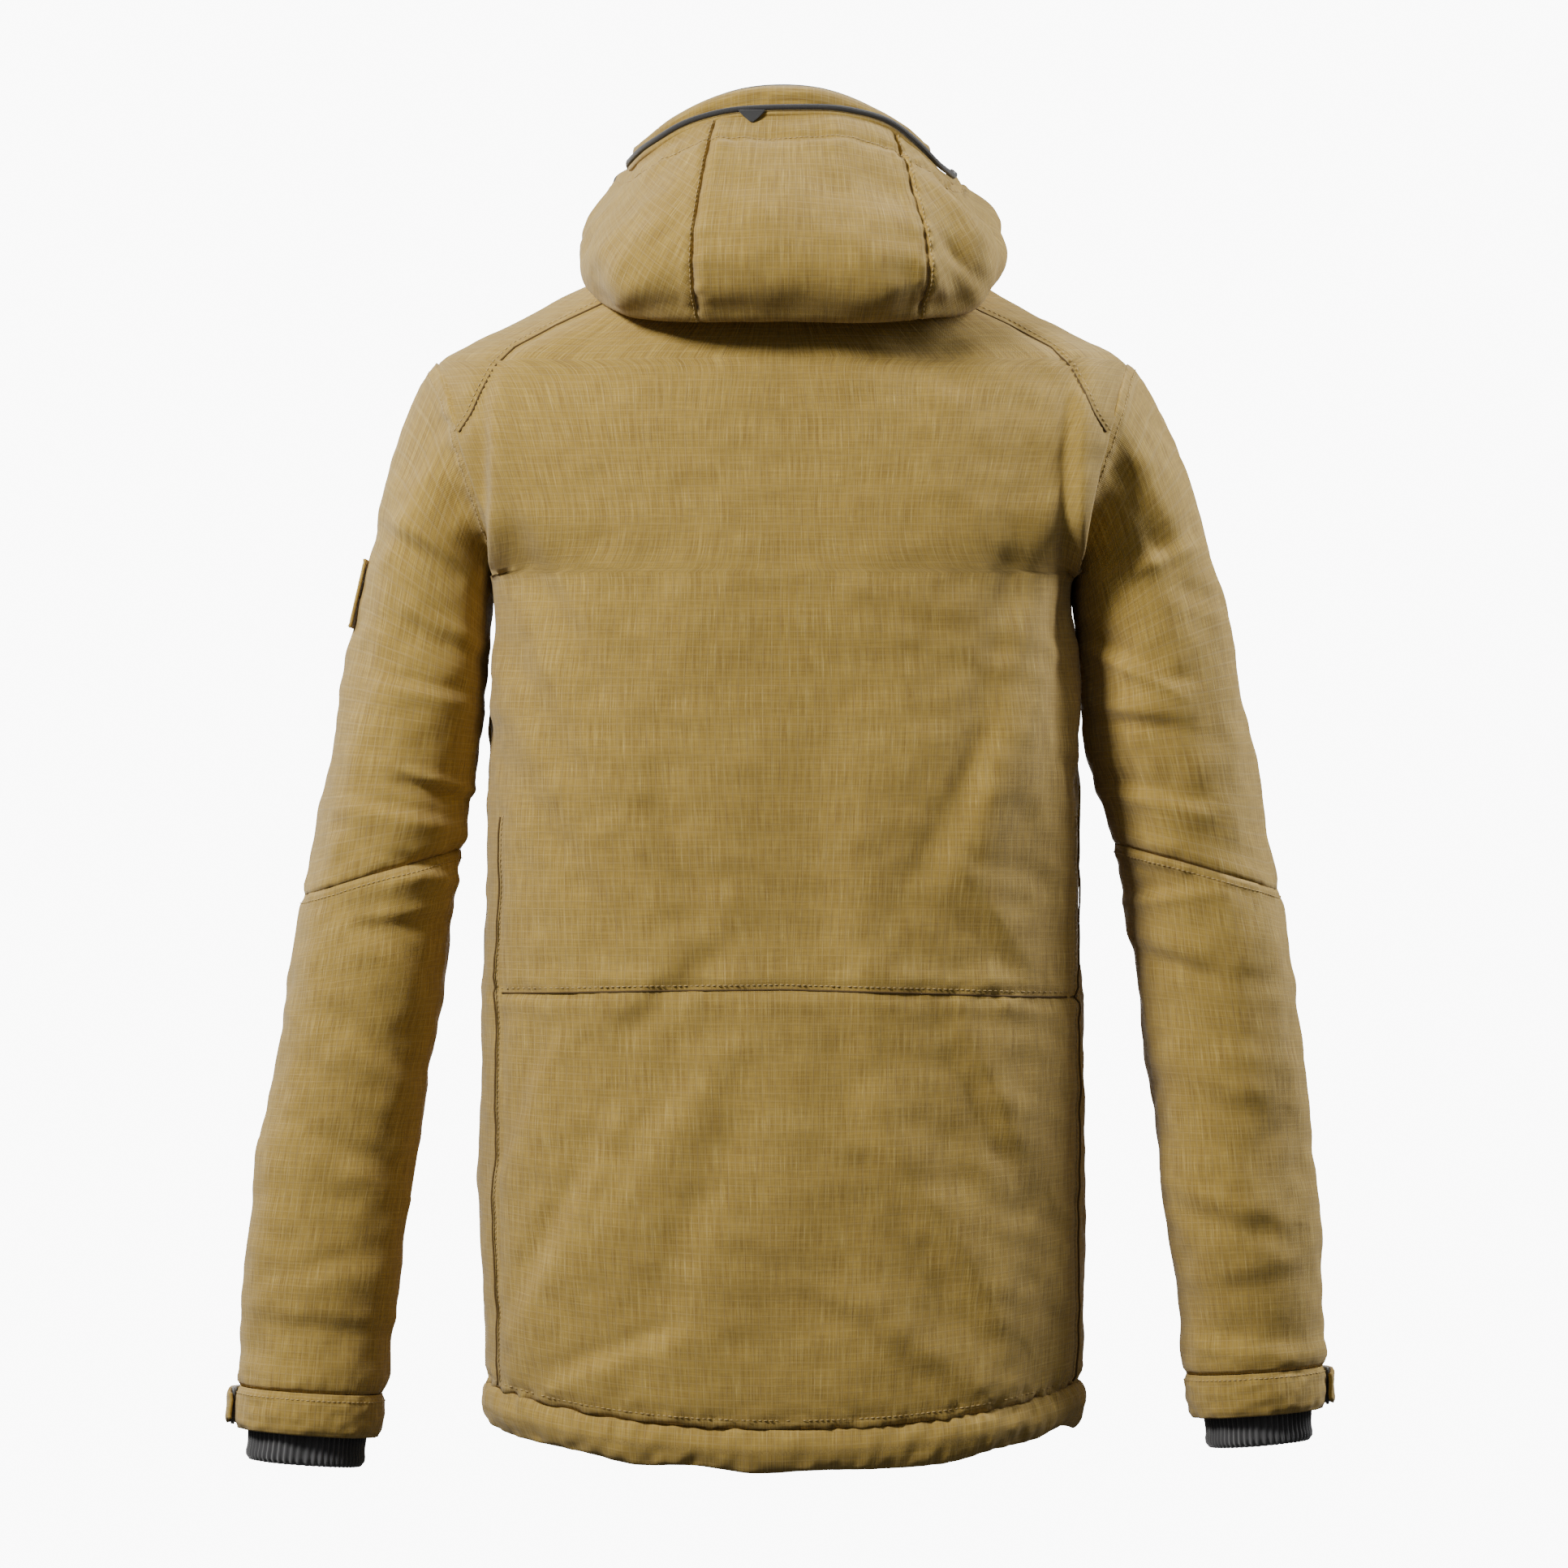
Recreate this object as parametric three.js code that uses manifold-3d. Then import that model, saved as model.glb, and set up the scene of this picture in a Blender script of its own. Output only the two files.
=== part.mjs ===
// A hooded, padded outdoor jacket, zipped up and hanging as on a wearer, with its hood down.
// Millimetres. +Z is up, the back of the jacket faces +Y and the wearer's left is +X.
// Shapes are drawn about the wearer's neck axis; the whole is then moved so that the
// origin is where the hang loop at the inside back of the neck takes the load.

import * as THREE from 'three';
import { mergeVertices } from 'three/addons/utils/BufferGeometryUtils.js';
import Module from 'manifold-3d';

const wasm = await Module();
wasm.setup();

// ---------------------------------------------------------------- driving dimensions

const GAP = 0.4;              // air between pieces that touch in the sewn jacket
const WALL = 9;               // padded shell fabric
const LINING = 2.4;           // lining fabric
const CUT = 400;              // reach of the cutting solids past the jacket

const HEM_Z = -826;           // lowest point of the hem, at the centre back
const HEM_RISE = 24;          // how much higher the hem is at the sides and front
const HEM_HEIGHT = 28;        // height of the padded hem band
const HEM_SEAM_Z = HEM_Z + 26; // level at which the body's lowest width and depth are given
const BACK_SEAM_Z = -516;     // cross seam of the back
const NECK_Z = -25;           // seam between body and collar
const ARMPIT_Z = -242;        // lowest point of the armhole
const CHEST_HALF = 201;       // half width of the body above the hem
const BACK_DEPTH = 130;       // from the neck axis to the back
const SIDE_SEAM_X = 172;      // side seams, left and right of the centre

const COLLAR_TOP_BACK = 75;   // top of the collar at the back
const COLLAR_DROP = 34;       // how much lower the collar is at the front
const COLLAR_HALF = 98;       // half width of the collar
const COLLAR_BACK = 71;       // neck axis to the back of the collar
const COLLAR_WALL = 7;

const ZIP_TOP_Y = -86;        // front edge at the top of the collar
const ZIP_LEAN = 0.052;       // the front edge moves out this much per millimetre down
const ZIP_HALF = 3.2;         // half width of the closed row of teeth
const ZIP_TAPE = 9;           // outer edge of the zip tape, from the centre
const ZIP_THICK = 2.2;
const SLIDER_LONG = 15;
const PULL_LONG = 34;

const SLEEVE_WALL = 8;
const CUFF_WALL = 7;
const KNIT_WALL = 3.2;
const CUFF_HEIGHT = 28;
const KNIT_SHOWS = 20;        // knit wristlet below the cuff

const TAB_HIGH = 24;
const TAB_THICK = 2.6;
const TAB_ROOT = -0.22;       // turns round the cuff from its outer side, forwards being less
const TAB_END = 0.035;
const PAD_ROOT = -0.12;
const PAD_END = 0.02;

const HOOD_HALF = 140;        // half width of the hood where it is widest
const HOOD_BACK = 150;        // neck axis to the back of the hood
const HOOD_RIM_Z = 50;        // rim at the centre back
const HOOD_RIM_DROP = 26;     // how much lower the rim is at its ends
const HOOD_LOW_Z = -84;       // bottom of the hood
const HOOD_LIFT_FRONT = 60;   // how much higher the bottom is at the front ends
const HOOD_WALL = 7;
const HOOD_TURN = 105;        // degrees round the neck from the back to each end
const HOOD_SEAM = 0.21;       // share of that turn at which the two seams run
const HOOD_HEM = 0.13;        // share of the hood's depth taken by the rim hem
const CORD_R = 2;

const POCKET_LONG = 160;
const POCKET_Z = -560;        // middle of each hand pocket
const POCKET_X = 122;
const POCKET_LEAN = 14;       // degrees from upright
const WELT_HALF = 11;
const WELT_DEEP = 3;
const WELT_PROUD = 0.6;       // how far a welt stands out of the front
const PATCH_LONG = 46;
const PATCH_TURN = 0.045;     // half the turn round the sleeve that the patch covers

// Half widths and depths of the body, from the neck seam down to the hem seam.
// Between armpit and shoulder the widths reach past the armholes, which cut them.
const BODY_HALF = [
  [NECK_Z, 96], [-38, 110], [-50, 128], [-70, 163], [-102, 228],
  [-125, 237], [-160, 245], [-205, 238], [ARMPIT_Z, 187], [-262, 186],
  [-340, 191], [BACK_SEAM_Z, 197], [-660, CHEST_HALF], [HEM_SEAM_Z, 199],
];
const BODY_BACK = [
  [NECK_Z, 72], [-50, 85], [-70, 94], [-102, 107], [-150, 118], [-240, 128],
  [-400, BACK_DEPTH], [-650, BACK_DEPTH], [HEM_SEAM_Z, 127],
];

// Each sleeve is a row of rings; a ring is drawn through an outer and an inner point.
const SLEEVE = {
  left: [
    ['armhole', [229, -103], [188, -240], 80], ['cap', [243, -131], [189, -247], 79],
    ['cap', [261, -181], [191, -264], 76], ['arm', [273, -234], [194, -290], 72],
    ['arm', [285, -287], [197, -318], 70], ['arm', [296, -340], [199, -350], 68],
    ['arm', [306, -393], [204, -388], 65], ['elbow', [317, -456], [212, -421], 62],
    ['forearm', [325, -505], [220, -487], 60], ['forearm', [331, -552], [229, -548], 57],
    ['forearm', [340, -612], [240, -612], 54], ['forearm', [348, -658], [247, -660], 52],
    ['forearm', [356, -718], [257, -722], 49], ['cuff', [360, -778], [263, -784], 46],
  ],
  right: [
    ['armhole', [229, -103], [188, -240], 80], ['cap', [250, -131], [189, -247], 79],
    ['cap', [268, -181], [191, -264], 76], ['arm', [283, -234], [194, -290], 73],
    ['arm', [296, -287], [197, -318], 71], ['arm', [307, -340], [200, -350], 69],
    ['arm', [317, -393], [210, -388], 66], ['elbow', [328, -452], [219, -416], 62],
    ['forearm', [335, -500], [227, -487], 60], ['forearm', [343, -552], [237, -548], 57],
    ['forearm', [349, -608], [245, -608], 54], ['forearm', [353, -658], [250, -660], 52],
    ['forearm', [357, -708], [257, -712], 49], ['cuff', [358, -765], [265, -771], 46],
  ],
};

// ---------------------------------------------------------------- materials

const COLOURS = {
  shell: [0xa88b55, 0.85, 0], shellDark: [0x8c7340, 0.85, 0], lining: [0x2b2a28, 0.7, 0],
  knit: [0x3a3a3a, 0.95, 0], tape: [0x1c1b1a, 0.8, 0], tooth: [0x26231e, 0.45, 0],
  metal: [0x3b3833, 0.4, 0.8], cord: [0x121212, 0.7, 0], hook: [0x1a1a1a, 0.95, 0],
};

function material(name) {
  const [color, roughness, metalness] = COLOURS[name];
  return new THREE.MeshStandardMaterial({ color, roughness, metalness });
}

// ---------------------------------------------------------------- surfaces and solids

// Straight-line value between the stations of a list of [z, value].
function along(stations, z) {
  if (z >= stations[0][0]) return stations[0][1];
  for (let i = 1; i < stations.length; i += 1) {
    const [z0, v0] = stations[i - 1];
    const [z1, v1] = stations[i];
    if (z >= z1) return v0 + (v1 - v0) * (z0 - z) / (z0 - z1);
  }
  return stations[stations.length - 1][1];
}

function power(value, exponent) {
  return Math.sign(value) * Math.abs(value) ** exponent;
}

function point(x, y, z) {
  return new THREE.Vector3(x, y, z);
}

// A closed solid between a grid of points and the same grid moved inwards by its wall.
// Rows run from v = 0 to 1 and columns round u; a round grid closes on itself.
function shell(pointAt, columns, rows, wall, round) {
  const across = round ? columns : columns + 1;
  const middle = (i, j) => pointAt(i / columns, j / rows);
  const small = 0.02;
  const outer = [];
  const inner = [];
  for (let j = 0; j <= rows; j += 1) {
    for (let i = 0; i < across; i += 1) {
      const p = middle(i, j);
      const alongU = middle(i + small, j).sub(middle(i - small, j));
      const v0 = Math.max(j - small, 0);
      const v1 = Math.min(j + small, rows);
      const alongV = middle(i, v1).sub(middle(i, v0));
      const normal = alongU.cross(alongV).normalize();
      outer.push(p);
      inner.push(p.clone().addScaledVector(normal, wall));
    }
  }
  const faces = [];
  const count = outer.length;
  const quad = (a, b, c, d) => faces.push(a, b, c, a, c, d);
  const at = (i, j) => j * across + (i % across);
  for (let j = 0; j < rows; j += 1) {
    for (let i = 0; i < columns; i += 1) {
      const [a, b, c, d] = [at(i, j), at(i + 1, j), at(i + 1, j + 1), at(i, j + 1)];
      quad(a, b, c, d);
      quad(count + d, count + c, count + b, count + a);
    }
    if (!round) {
      quad(at(0, j), at(0, j + 1), count + at(0, j + 1), count + at(0, j));
      quad(at(columns, j + 1), at(columns, j), count + at(columns, j), count + at(columns, j + 1));
    }
  }
  for (let i = 0; i < columns; i += 1) {
    quad(at(i + 1, 0), at(i, 0), count + at(i, 0), count + at(i + 1, 0));
    quad(at(i, rows), at(i + 1, rows), count + at(i + 1, rows), count + at(i, rows));
  }
  return solidOf([...outer, ...inner], faces);
}

// A solid through a row of rings, closed at both ends by fans.
function loft(rings) {
  const n = rings[0].length;
  const points = rings.flat();
  const faces = [];
  for (let j = 0; j < rings.length - 1; j += 1) {
    for (let i = 0; i < n; i += 1) {
      const k = (i + 1) % n;
      faces.push(j * n + i, j * n + k, (j + 1) * n + k, j * n + i, (j + 1) * n + k, (j + 1) * n + i);
    }
  }
  [0, rings.length - 1].forEach((j) => {
    const centre = rings[j].reduce((sum, p) => sum.add(p), point(0, 0, 0)).divideScalar(n);
    points.push(centre);
    for (let i = 0; i < n; i += 1) {
      const a = j * n + i;
      const b = j * n + (i + 1) % n;
      if (j === 0) faces.push(b, a, points.length - 1);
      else faces.push(a, b, points.length - 1);
    }
  });
  return solidOf(points, faces);
}

// A manifold from points and faces, turned so that its faces look outwards.
function solidOf(points, faces) {
  let volume = 0;
  for (let i = 0; i < faces.length; i += 3) {
    const [a, b, c] = [points[faces[i]], points[faces[i + 1]], points[faces[i + 2]]];
    volume += a.dot(b.clone().cross(c));
  }
  const turned = volume < 0 ? faces.slice().reverse() : faces;
  const geometry = new THREE.BufferGeometry();
  const flat = points.flatMap((p) => p.toArray());
  geometry.setAttribute('position', new THREE.Float32BufferAttribute(flat, 3));
  geometry.setIndex(turned);
  return manifold(geometry);
}

function manifold(geometry) {
  const bare = geometry.clone();
  bare.deleteAttribute('normal');
  bare.deleteAttribute('uv');
  const merged = mergeVertices(bare, 1e-4);
  return new wasm.Manifold(new wasm.Mesh({
    numProp: 3,
    vertProperties: new Float32Array(merged.attributes.position.array),
    triVerts: new Uint32Array(merged.index.array),
  }));
}

// A block between two corners, as a manifold.
function block(low, high) {
  const size = [0, 1, 2].map((k) => high[k] - low[k]);
  const geometry = new THREE.BoxGeometry(...size);
  geometry.translate(...[0, 1, 2].map((k) => (low[k] + high[k]) / 2));
  return manifold(geometry);
}

// An outline drawn in the XZ plane and pushed along Y from y0 to y1.
function slab(outline, y0, y1) {
  const shape = new THREE.Shape(outline.map(([x, z]) => new THREE.Vector2(x, z)));
  const geometry = new THREE.ExtrudeGeometry(shape, { depth: y1 - y0, bevelEnabled: false });
  geometry.rotateX(Math.PI / 2);
  geometry.translate(0, y1, 0);
  return manifold(geometry);
}

const coat = new THREE.Group();

function meshOf(name, geometry, colour, parent = coat) {
  const mesh = new THREE.Mesh(geometry, material(colour));
  mesh.name = name;
  parent.add(mesh);
  return mesh;
}

function addSolid(name, solid, colour, parent = coat) {
  const { vertProperties, triVerts, numProp } = solid.getMesh();
  const geometry = new THREE.BufferGeometry();
  const xyz = [];
  for (let i = 0; i < vertProperties.length; i += numProp) {
    xyz.push(vertProperties[i], vertProperties[i + 1], vertProperties[i + 2]);
  }
  geometry.setAttribute('position', new THREE.Float32BufferAttribute(xyz, 3));
  geometry.setIndex([...triVerts]);
  return meshOf(name, geometry, colour, parent);
}

// ---------------------------------------------------------------- body

// The front edge falls in a straight line, so that the zip's slider runs straight.
function frontY(z) {
  return ZIP_TOP_Y - (COLLAR_TOP_BACK - z) * ZIP_LEAN;
}

// A point of a closed level ring: u = 0 at the front, 1/4 at the wearer's left, 1/2 behind.
function ring(u, z, half, back, exponent) {
  const angle = 2 * Math.PI * u;
  const x = half * power(Math.sin(angle), 2 / exponent);
  const depth = Math.cos(angle) > 0 ? -frontY(z) : back;
  return point(x, -depth * power(Math.cos(angle), 2 / exponent), z);
}

function hemRise(u) {
  return HEM_RISE * Math.min(1, 1 + Math.cos(2 * Math.PI * u));
}

// v = 0 at the neck seam and 1 at the hem seam; inset moves the wall inwards.
function bodyPoint(u, v, inset) {
  const levels = BODY_HALF.map(([z]) => z);
  const place = Math.min(v, 1) * (levels.length - 1);
  const k = Math.min(Math.floor(place), levels.length - 2);
  const z = levels[k] + (levels[k + 1] - levels[k]) * (place - k);
  const slope = z > -102 ? inset * 0.85 : 0;
  const side = z > -102 ? inset * 0.55 : inset;
  const low = Math.max(0, (BACK_SEAM_Z - z) / (BACK_SEAM_Z - levels[levels.length - 1]));
  const p = ring(u, z, along(BODY_HALF, z) - side, along(BODY_BACK, z) - side, 2.4);
  if (p.y < 0) p.y *= (-frontY(z) - inset) / -frontY(z);
  p.z += low * (hemRise(u) + HEM_Z + HEM_HEIGHT + GAP - levels[levels.length - 1]) - slope;
  return p;
}

function bodySolid(inset, neckReach) {
  const rows = BODY_HALF.length - 1;
  const rings = [];
  const columns = 32;
  for (let j = 0; j <= rows; j += 1) {
    const row = [];
    for (let i = 0; i < columns; i += 1) row.push(bodyPoint(i / columns, j / rows, inset));
    rings.push(row);
  }
  if (neckReach > 0) {
    rings.unshift(rings[0].map((p) => p.clone().add(point(0, 0, neckReach))));
    rings.push(rings[rings.length - 1].map((p) => p.clone().add(point(0, 0, -neckReach))));
  }
  return loft(rings);
}

// Where the plane of an armhole lies at a level, left of the centre.
function armholeX(z) {
  const [, top, low] = SLEEVE.left[0];
  return low[0] + (z - low[1]) * (top[0] - low[0]) / (top[1] - low[1]);
}

// Everything outside one armhole, from the armpit up. Sides: 1 is left, -1 is right.
function outsideArmhole(side, gap) {
  const outline = [
    [armholeX(ARMPIT_Z) - gap, ARMPIT_Z - gap], [CUT, ARMPIT_Z - gap],
    [CUT, 0], [armholeX(0) - gap, 0],
  ];
  return slab(outline.map(([x, z]) => [side * x, z]), -CUT, CUT);
}

// Everything on the body's side of one armhole.
function insideArmhole(side) {
  const low = ARMPIT_Z - 2 * GAP;
  const outline = [[0, low], [armholeX(low), low], [armholeX(0), 0], [0, 0]];
  return slab(outline.map(([x, z]) => [side * x, z]), -CUT, CUT);
}

// Takes the part of `rest` inside `region` as a piece and leaves the rest a gap away.
function carve(rest, region) {
  return [rest.intersect(region(0)), rest.subtract(region(GAP))];
}

// Where a pocket's welt sits: its outer face just proud of the front, leaning outwards below.
function pocketPlace(side) {
  const sign = side === 'left' ? 1 : -1;
  const share = POCKET_X / CHEST_HALF;
  const deep = (1 - share ** 2.4) ** (1 / 2.4);
  const slope = Math.atan((-frontY(POCKET_Z) / CHEST_HALF) * (share / deep) ** 1.4);
  const turn = new THREE.Euler(0, THREE.MathUtils.degToRad(-sign * POCKET_LEAN), sign * slope, 'ZYX');
  const place = point(sign * POCKET_X, frontY(POCKET_Z) * deep - WELT_PROUD, POCKET_Z);
  return new THREE.Matrix4().makeRotationFromEuler(turn).setPosition(place);
}

// The recess that a welt and its zip need in the front panel.
function pocketRecess(side) {
  const reach = POCKET_LONG / 2 + GAP;
  const geometry = new THREE.BoxGeometry(2 * (WELT_HALF + GAP), 2 * (WELT_DEEP + GAP), 2 * reach);
  geometry.applyMatrix4(pocketPlace(side));
  return manifold(geometry);
}

function buildBody() {
  const armholes = outsideArmhole(1, GAP).add(outsideArmhole(-1, GAP));
  const outer = bodySolid(0, 0);
  const hollow = bodySolid(WALL, 60);
  let rest = outer.subtract(hollow).subtract(armholes);
  const front = ZIP_TAPE;
  rest = rest.subtract(block([-front, -CUT, -CUT * 3], [front, 0, CUT]));

  // Shoulder pieces lie over the shoulders and end in a seam before and behind.
  const shoulder = (side) => (grow) => slab([
    [side * (100 - grow), 40], [side * (100 - grow), -60], [side * (113 - grow), -65 - grow],
    [side * (149 - grow), -82 - grow], [side * (188 - grow), -109 - grow],
    [side * (209 - grow), -150 - grow], [side * 300, -160 - grow], [side * 300, 40],
  ], -CUT, CUT);
  let piece;
  [piece, rest] = carve(rest, shoulder(1));
  addSolid('shoulder_yoke_left', piece, 'shell');
  [piece, rest] = carve(rest, shoulder(-1));
  addSolid('shoulder_yoke_right', piece, 'shell');

  const strip = (low, high, top) => (grow) => block(
    [low - grow, -CUT, -CUT * 3],
    [high + grow, CUT, top + grow],
  );
  const half = (sign) => (grow) => (sign > 0
    ? block([-CUT, -grow, -CUT * 3], [CUT, CUT, CUT])
    : block([-CUT, -CUT, -CUT * 3], [CUT, grow, CUT]));
  [piece, rest] = carve(rest, strip(SIDE_SEAM_X, CUT, ARMPIT_Z - GAP));
  addSolid('side_panel_left', piece, 'shellDark');
  [piece, rest] = carve(rest, strip(-CUT, -SIDE_SEAM_X, ARMPIT_Z - GAP));
  addSolid('side_panel_right', piece, 'shellDark');
  let back;
  [back, rest] = carve(rest, half(1));
  const upper = (grow) => block([-CUT, -CUT, BACK_SEAM_Z - grow], [CUT, CUT, CUT]);
  [piece, back] = carve(back, upper);
  addSolid('back_panel_upper', piece, 'shell');
  addSolid('back_panel_lower', back, 'shell');
  [piece, rest] = carve(rest, strip(0, CUT, CUT));
  addSolid('front_panel_left', piece.subtract(pocketRecess('left')), 'shell');
  addSolid('front_panel_right', rest.subtract(pocketRecess('right')), 'shell');

  const liningOuter = bodySolid(WALL + GAP, 0);
  const liningInner = bodySolid(WALL + GAP + LINING, 60);
  const lining = liningOuter.subtract(liningInner)
    .subtract(outsideArmhole(1, WALL)).subtract(outsideArmhole(-1, WALL))
    .subtract(block([-front - 4, -CUT, -CUT * 3], [front + 4, 0, CUT]))
    .subtract(block([-CUT, -CUT, -30 - GAP], [CUT, CUT, CUT]));
  addSolid('body_lining', lining, 'lining');

  // The hem band, open at the zip.
  const bandPoint = (u, v) => {
    const top = bodyPoint(u, 1, 0);
    const swell = 3 * Math.sin(Math.PI * v) - 6 * v * v;
    const out = point(top.x, top.y, 0).normalize().multiplyScalar(swell);
    return point(top.x + out.x, top.y + out.y, top.z - GAP - HEM_HEIGHT * v);
  };
  const band = shell(bandPoint, 32, 3, WALL + 3, true)
    .subtract(block([-front, -CUT, -CUT * 3], [front, 0, 0]));
  addSolid('hem_band', band, 'shell');
}

// ---------------------------------------------------------------- collar

function collarTop(u) {
  return COLLAR_TOP_BACK - COLLAR_DROP * (1 + Math.cos(2 * Math.PI * u)) / 2;
}

function collarPoint(inset) {
  return (u, v) => {
    const z = NECK_Z + GAP + (collarTop(u) - NECK_Z - GAP) * v;
    const p = ring(u, z, COLLAR_HALF - 2 + 2 * v - inset, COLLAR_BACK - inset, 2.2);
    if (p.y < 0) p.y *= (-frontY(z) - inset) / -frontY(z);
    return p;
  };
}

function buildCollar() {
  const open = (gap) => block([-ZIP_TAPE - gap, -CUT, -CUT], [ZIP_TAPE + gap, 0, CUT]);
  const outer = shell(collarPoint(0), 28, 2, COLLAR_WALL, true).subtract(open(0));
  addSolid('collar', outer, 'shell');
  const lining = shell(collarPoint(COLLAR_WALL + GAP), 28, 2, LINING, true).subtract(open(4));
  addSolid('collar_lining', lining, 'lining');
}

// ---------------------------------------------------------------- sleeves

// A point of a sleeve ring; place counts along its rings and runs on past the last one.
function sleevePoint(side, place, u, inset) {
  const rings = SLEEVE[side];
  const k = Math.min(Math.floor(place), rings.length - 2);
  const share = place - k;
  const mix = (a, b) => a + (b - a) * share;
  const [, outer0, inner0, depth0] = rings[k];
  const [, outer1, inner1, depth1] = rings[k + 1];
  const outer = [mix(outer0[0], outer1[0]), mix(outer0[1], outer1[1])];
  const inner = [mix(inner0[0], inner1[0]), mix(inner0[1], inner1[1])];
  const span = Math.hypot(outer[0] - inner[0], outer[1] - inner[1]);
  const shrink = 1 - 2 * inset / span;
  const angle = 2 * Math.PI * u;
  const cos = power(Math.cos(angle), 2 / 2.2) * shrink / 2;
  const sign = side === 'left' ? 1 : -1;
  return point(
    sign * ((outer[0] + inner[0]) / 2 + (outer[0] - inner[0]) * cos),
    power(Math.sin(angle), 2 / 2.2) * (mix(depth0, depth1) - inset),
    (outer[1] + inner[1]) / 2 + (outer[1] - inner[1]) * cos,
  );
}

function tube(side, from, to, rows, inset, wall) {
  const sign = side === 'left' ? 1 : -1;
  return shell((u, v) => sleevePoint(side, from + (to - from) * v, sign * u, inset), 20, rows, wall, true);
}

// How far along the ring list a length in millimetres reaches past the last ring.
function pastEnd(side, length) {
  const rings = SLEEVE[side];
  const [a, b] = [rings[rings.length - 2][1], rings[rings.length - 1][1]];
  return rings.length - 1 + length / Math.hypot(b[0] - a[0], b[1] - a[1]);
}

function buildSleeve(side) {
  const rings = SLEEVE[side];
  const sign = side === 'left' ? 1 : -1;
  const elbow = rings.findIndex(([name]) => name === 'elbow');
  const cuff = pastEnd(side, 0);
  const step = 0.02;
  const upper = tube(side, step, elbow, 6, 0, SLEEVE_WALL).subtract(insideArmhole(sign));
  addSolid(`upper_sleeve_${side}`, upper, 'shell');
  addSolid(`lower_sleeve_${side}`, tube(side, elbow + step, cuff, 4, 0, SLEEVE_WALL), 'shell');
  const band = tube(side, pastEnd(side, GAP), pastEnd(side, CUFF_HEIGHT), 1, 0, CUFF_WALL);
  addSolid(`cuff_band_${side}`, band, 'shell');
  const knitInset = SLEEVE_WALL + 3 * GAP;
  const knitEnd = pastEnd(side, CUFF_HEIGHT + KNIT_SHOWS);
  const knit = tube(side, pastEnd(side, -30), knitEnd, 3, knitInset, KNIT_WALL);
  addSolid(`wristlet_${side}`, knit, 'knit');

  // The tab is sewn at the front of the cuff and wraps round to its outer side.
  const high = pastEnd(side, CUFF_HEIGHT / 2 - TAB_HIGH / 2);
  const low = pastEnd(side, CUFF_HEIGHT / 2 + TAB_HIGH / 2);
  const padInset = -TAB_THICK - GAP;
  const tabInset = -2 * TAB_THICK - 3 * GAP;
  const tab = strap(side, [high, low], [TAB_END, TAB_ROOT], tabInset, TAB_THICK);
  const pad = strap(side, [high, low], [PAD_END, PAD_ROOT], padInset, TAB_THICK);
  addSolid(`cuff_tab_${side}`, tab, 'shellDark');
  addSolid(`cuff_loop_pad_${side}`, pad, 'hook');
}

// A strip lying along a sleeve, between two places and two turns round it.
function strap(side, places, turns, inset, wall) {
  const [u0, u1] = side === 'left' ? turns : [turns[1], turns[0]];
  const [p0, p1] = places;
  const at = (u, v) => sleevePoint(side, p0 + (p1 - p0) * v, u0 + (u1 - u0) * u, inset);
  return shell((u, v) => at(1 - u, v), 5, 1, wall, false);
}

// A plain patch stitched on the outer side of the wearer's left upper sleeve.
function buildPatch() {
  const patch = strap('left', [3, 3 + PATCH_LONG / 54], [PATCH_TURN, -PATCH_TURN], -2 - GAP, 2);
  addSolid('sleeve_patch', patch, 'shellDark');
}

// ---------------------------------------------------------------- hood

const HOOD_WIDTHS = [[0, 114], [-0.25, 126], [-0.5, 136], [-0.7, HOOD_HALF], [-0.85, 139], [-1, 132]];
const HOOD_DEPTHS = [[0, 96], [-0.25, 122], [-0.5, 142], [-0.7, HOOD_BACK], [-0.85, 147], [-1, 128]];

// s runs from -1 at the right end round the back to 1 at the left, t from the rim down.
function hoodPoint(s, t, half, back) {
  const angle = THREE.MathUtils.degToRad(HOOD_TURN * s);
  const rim = HOOD_RIM_Z - HOOD_RIM_DROP * s * s;
  const low = HOOD_LOW_Z + HOOD_LIFT_FRONT * s ** 4;
  const reach = Math.cos(angle) < 0 ? 80 : back;
  return point(
    half * power(Math.sin(angle), 2 / 3),
    reach * power(Math.cos(angle), 2 / 3),
    rim + (low - rim) * t,
  );
}

function hoodOutside(s, t) {
  return hoodPoint(s, t, along(HOOD_WIDTHS, -t), along(HOOD_DEPTHS, -t));
}

function hoodPanel(s0, s1, t0, t1, columns, rows) {
  const at = (u, v) => hoodOutside(s1 + (s0 - s1) * u, t0 + (t1 - t0) * v);
  return shell(at, columns, rows, HOOD_WALL, false);
}

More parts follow.
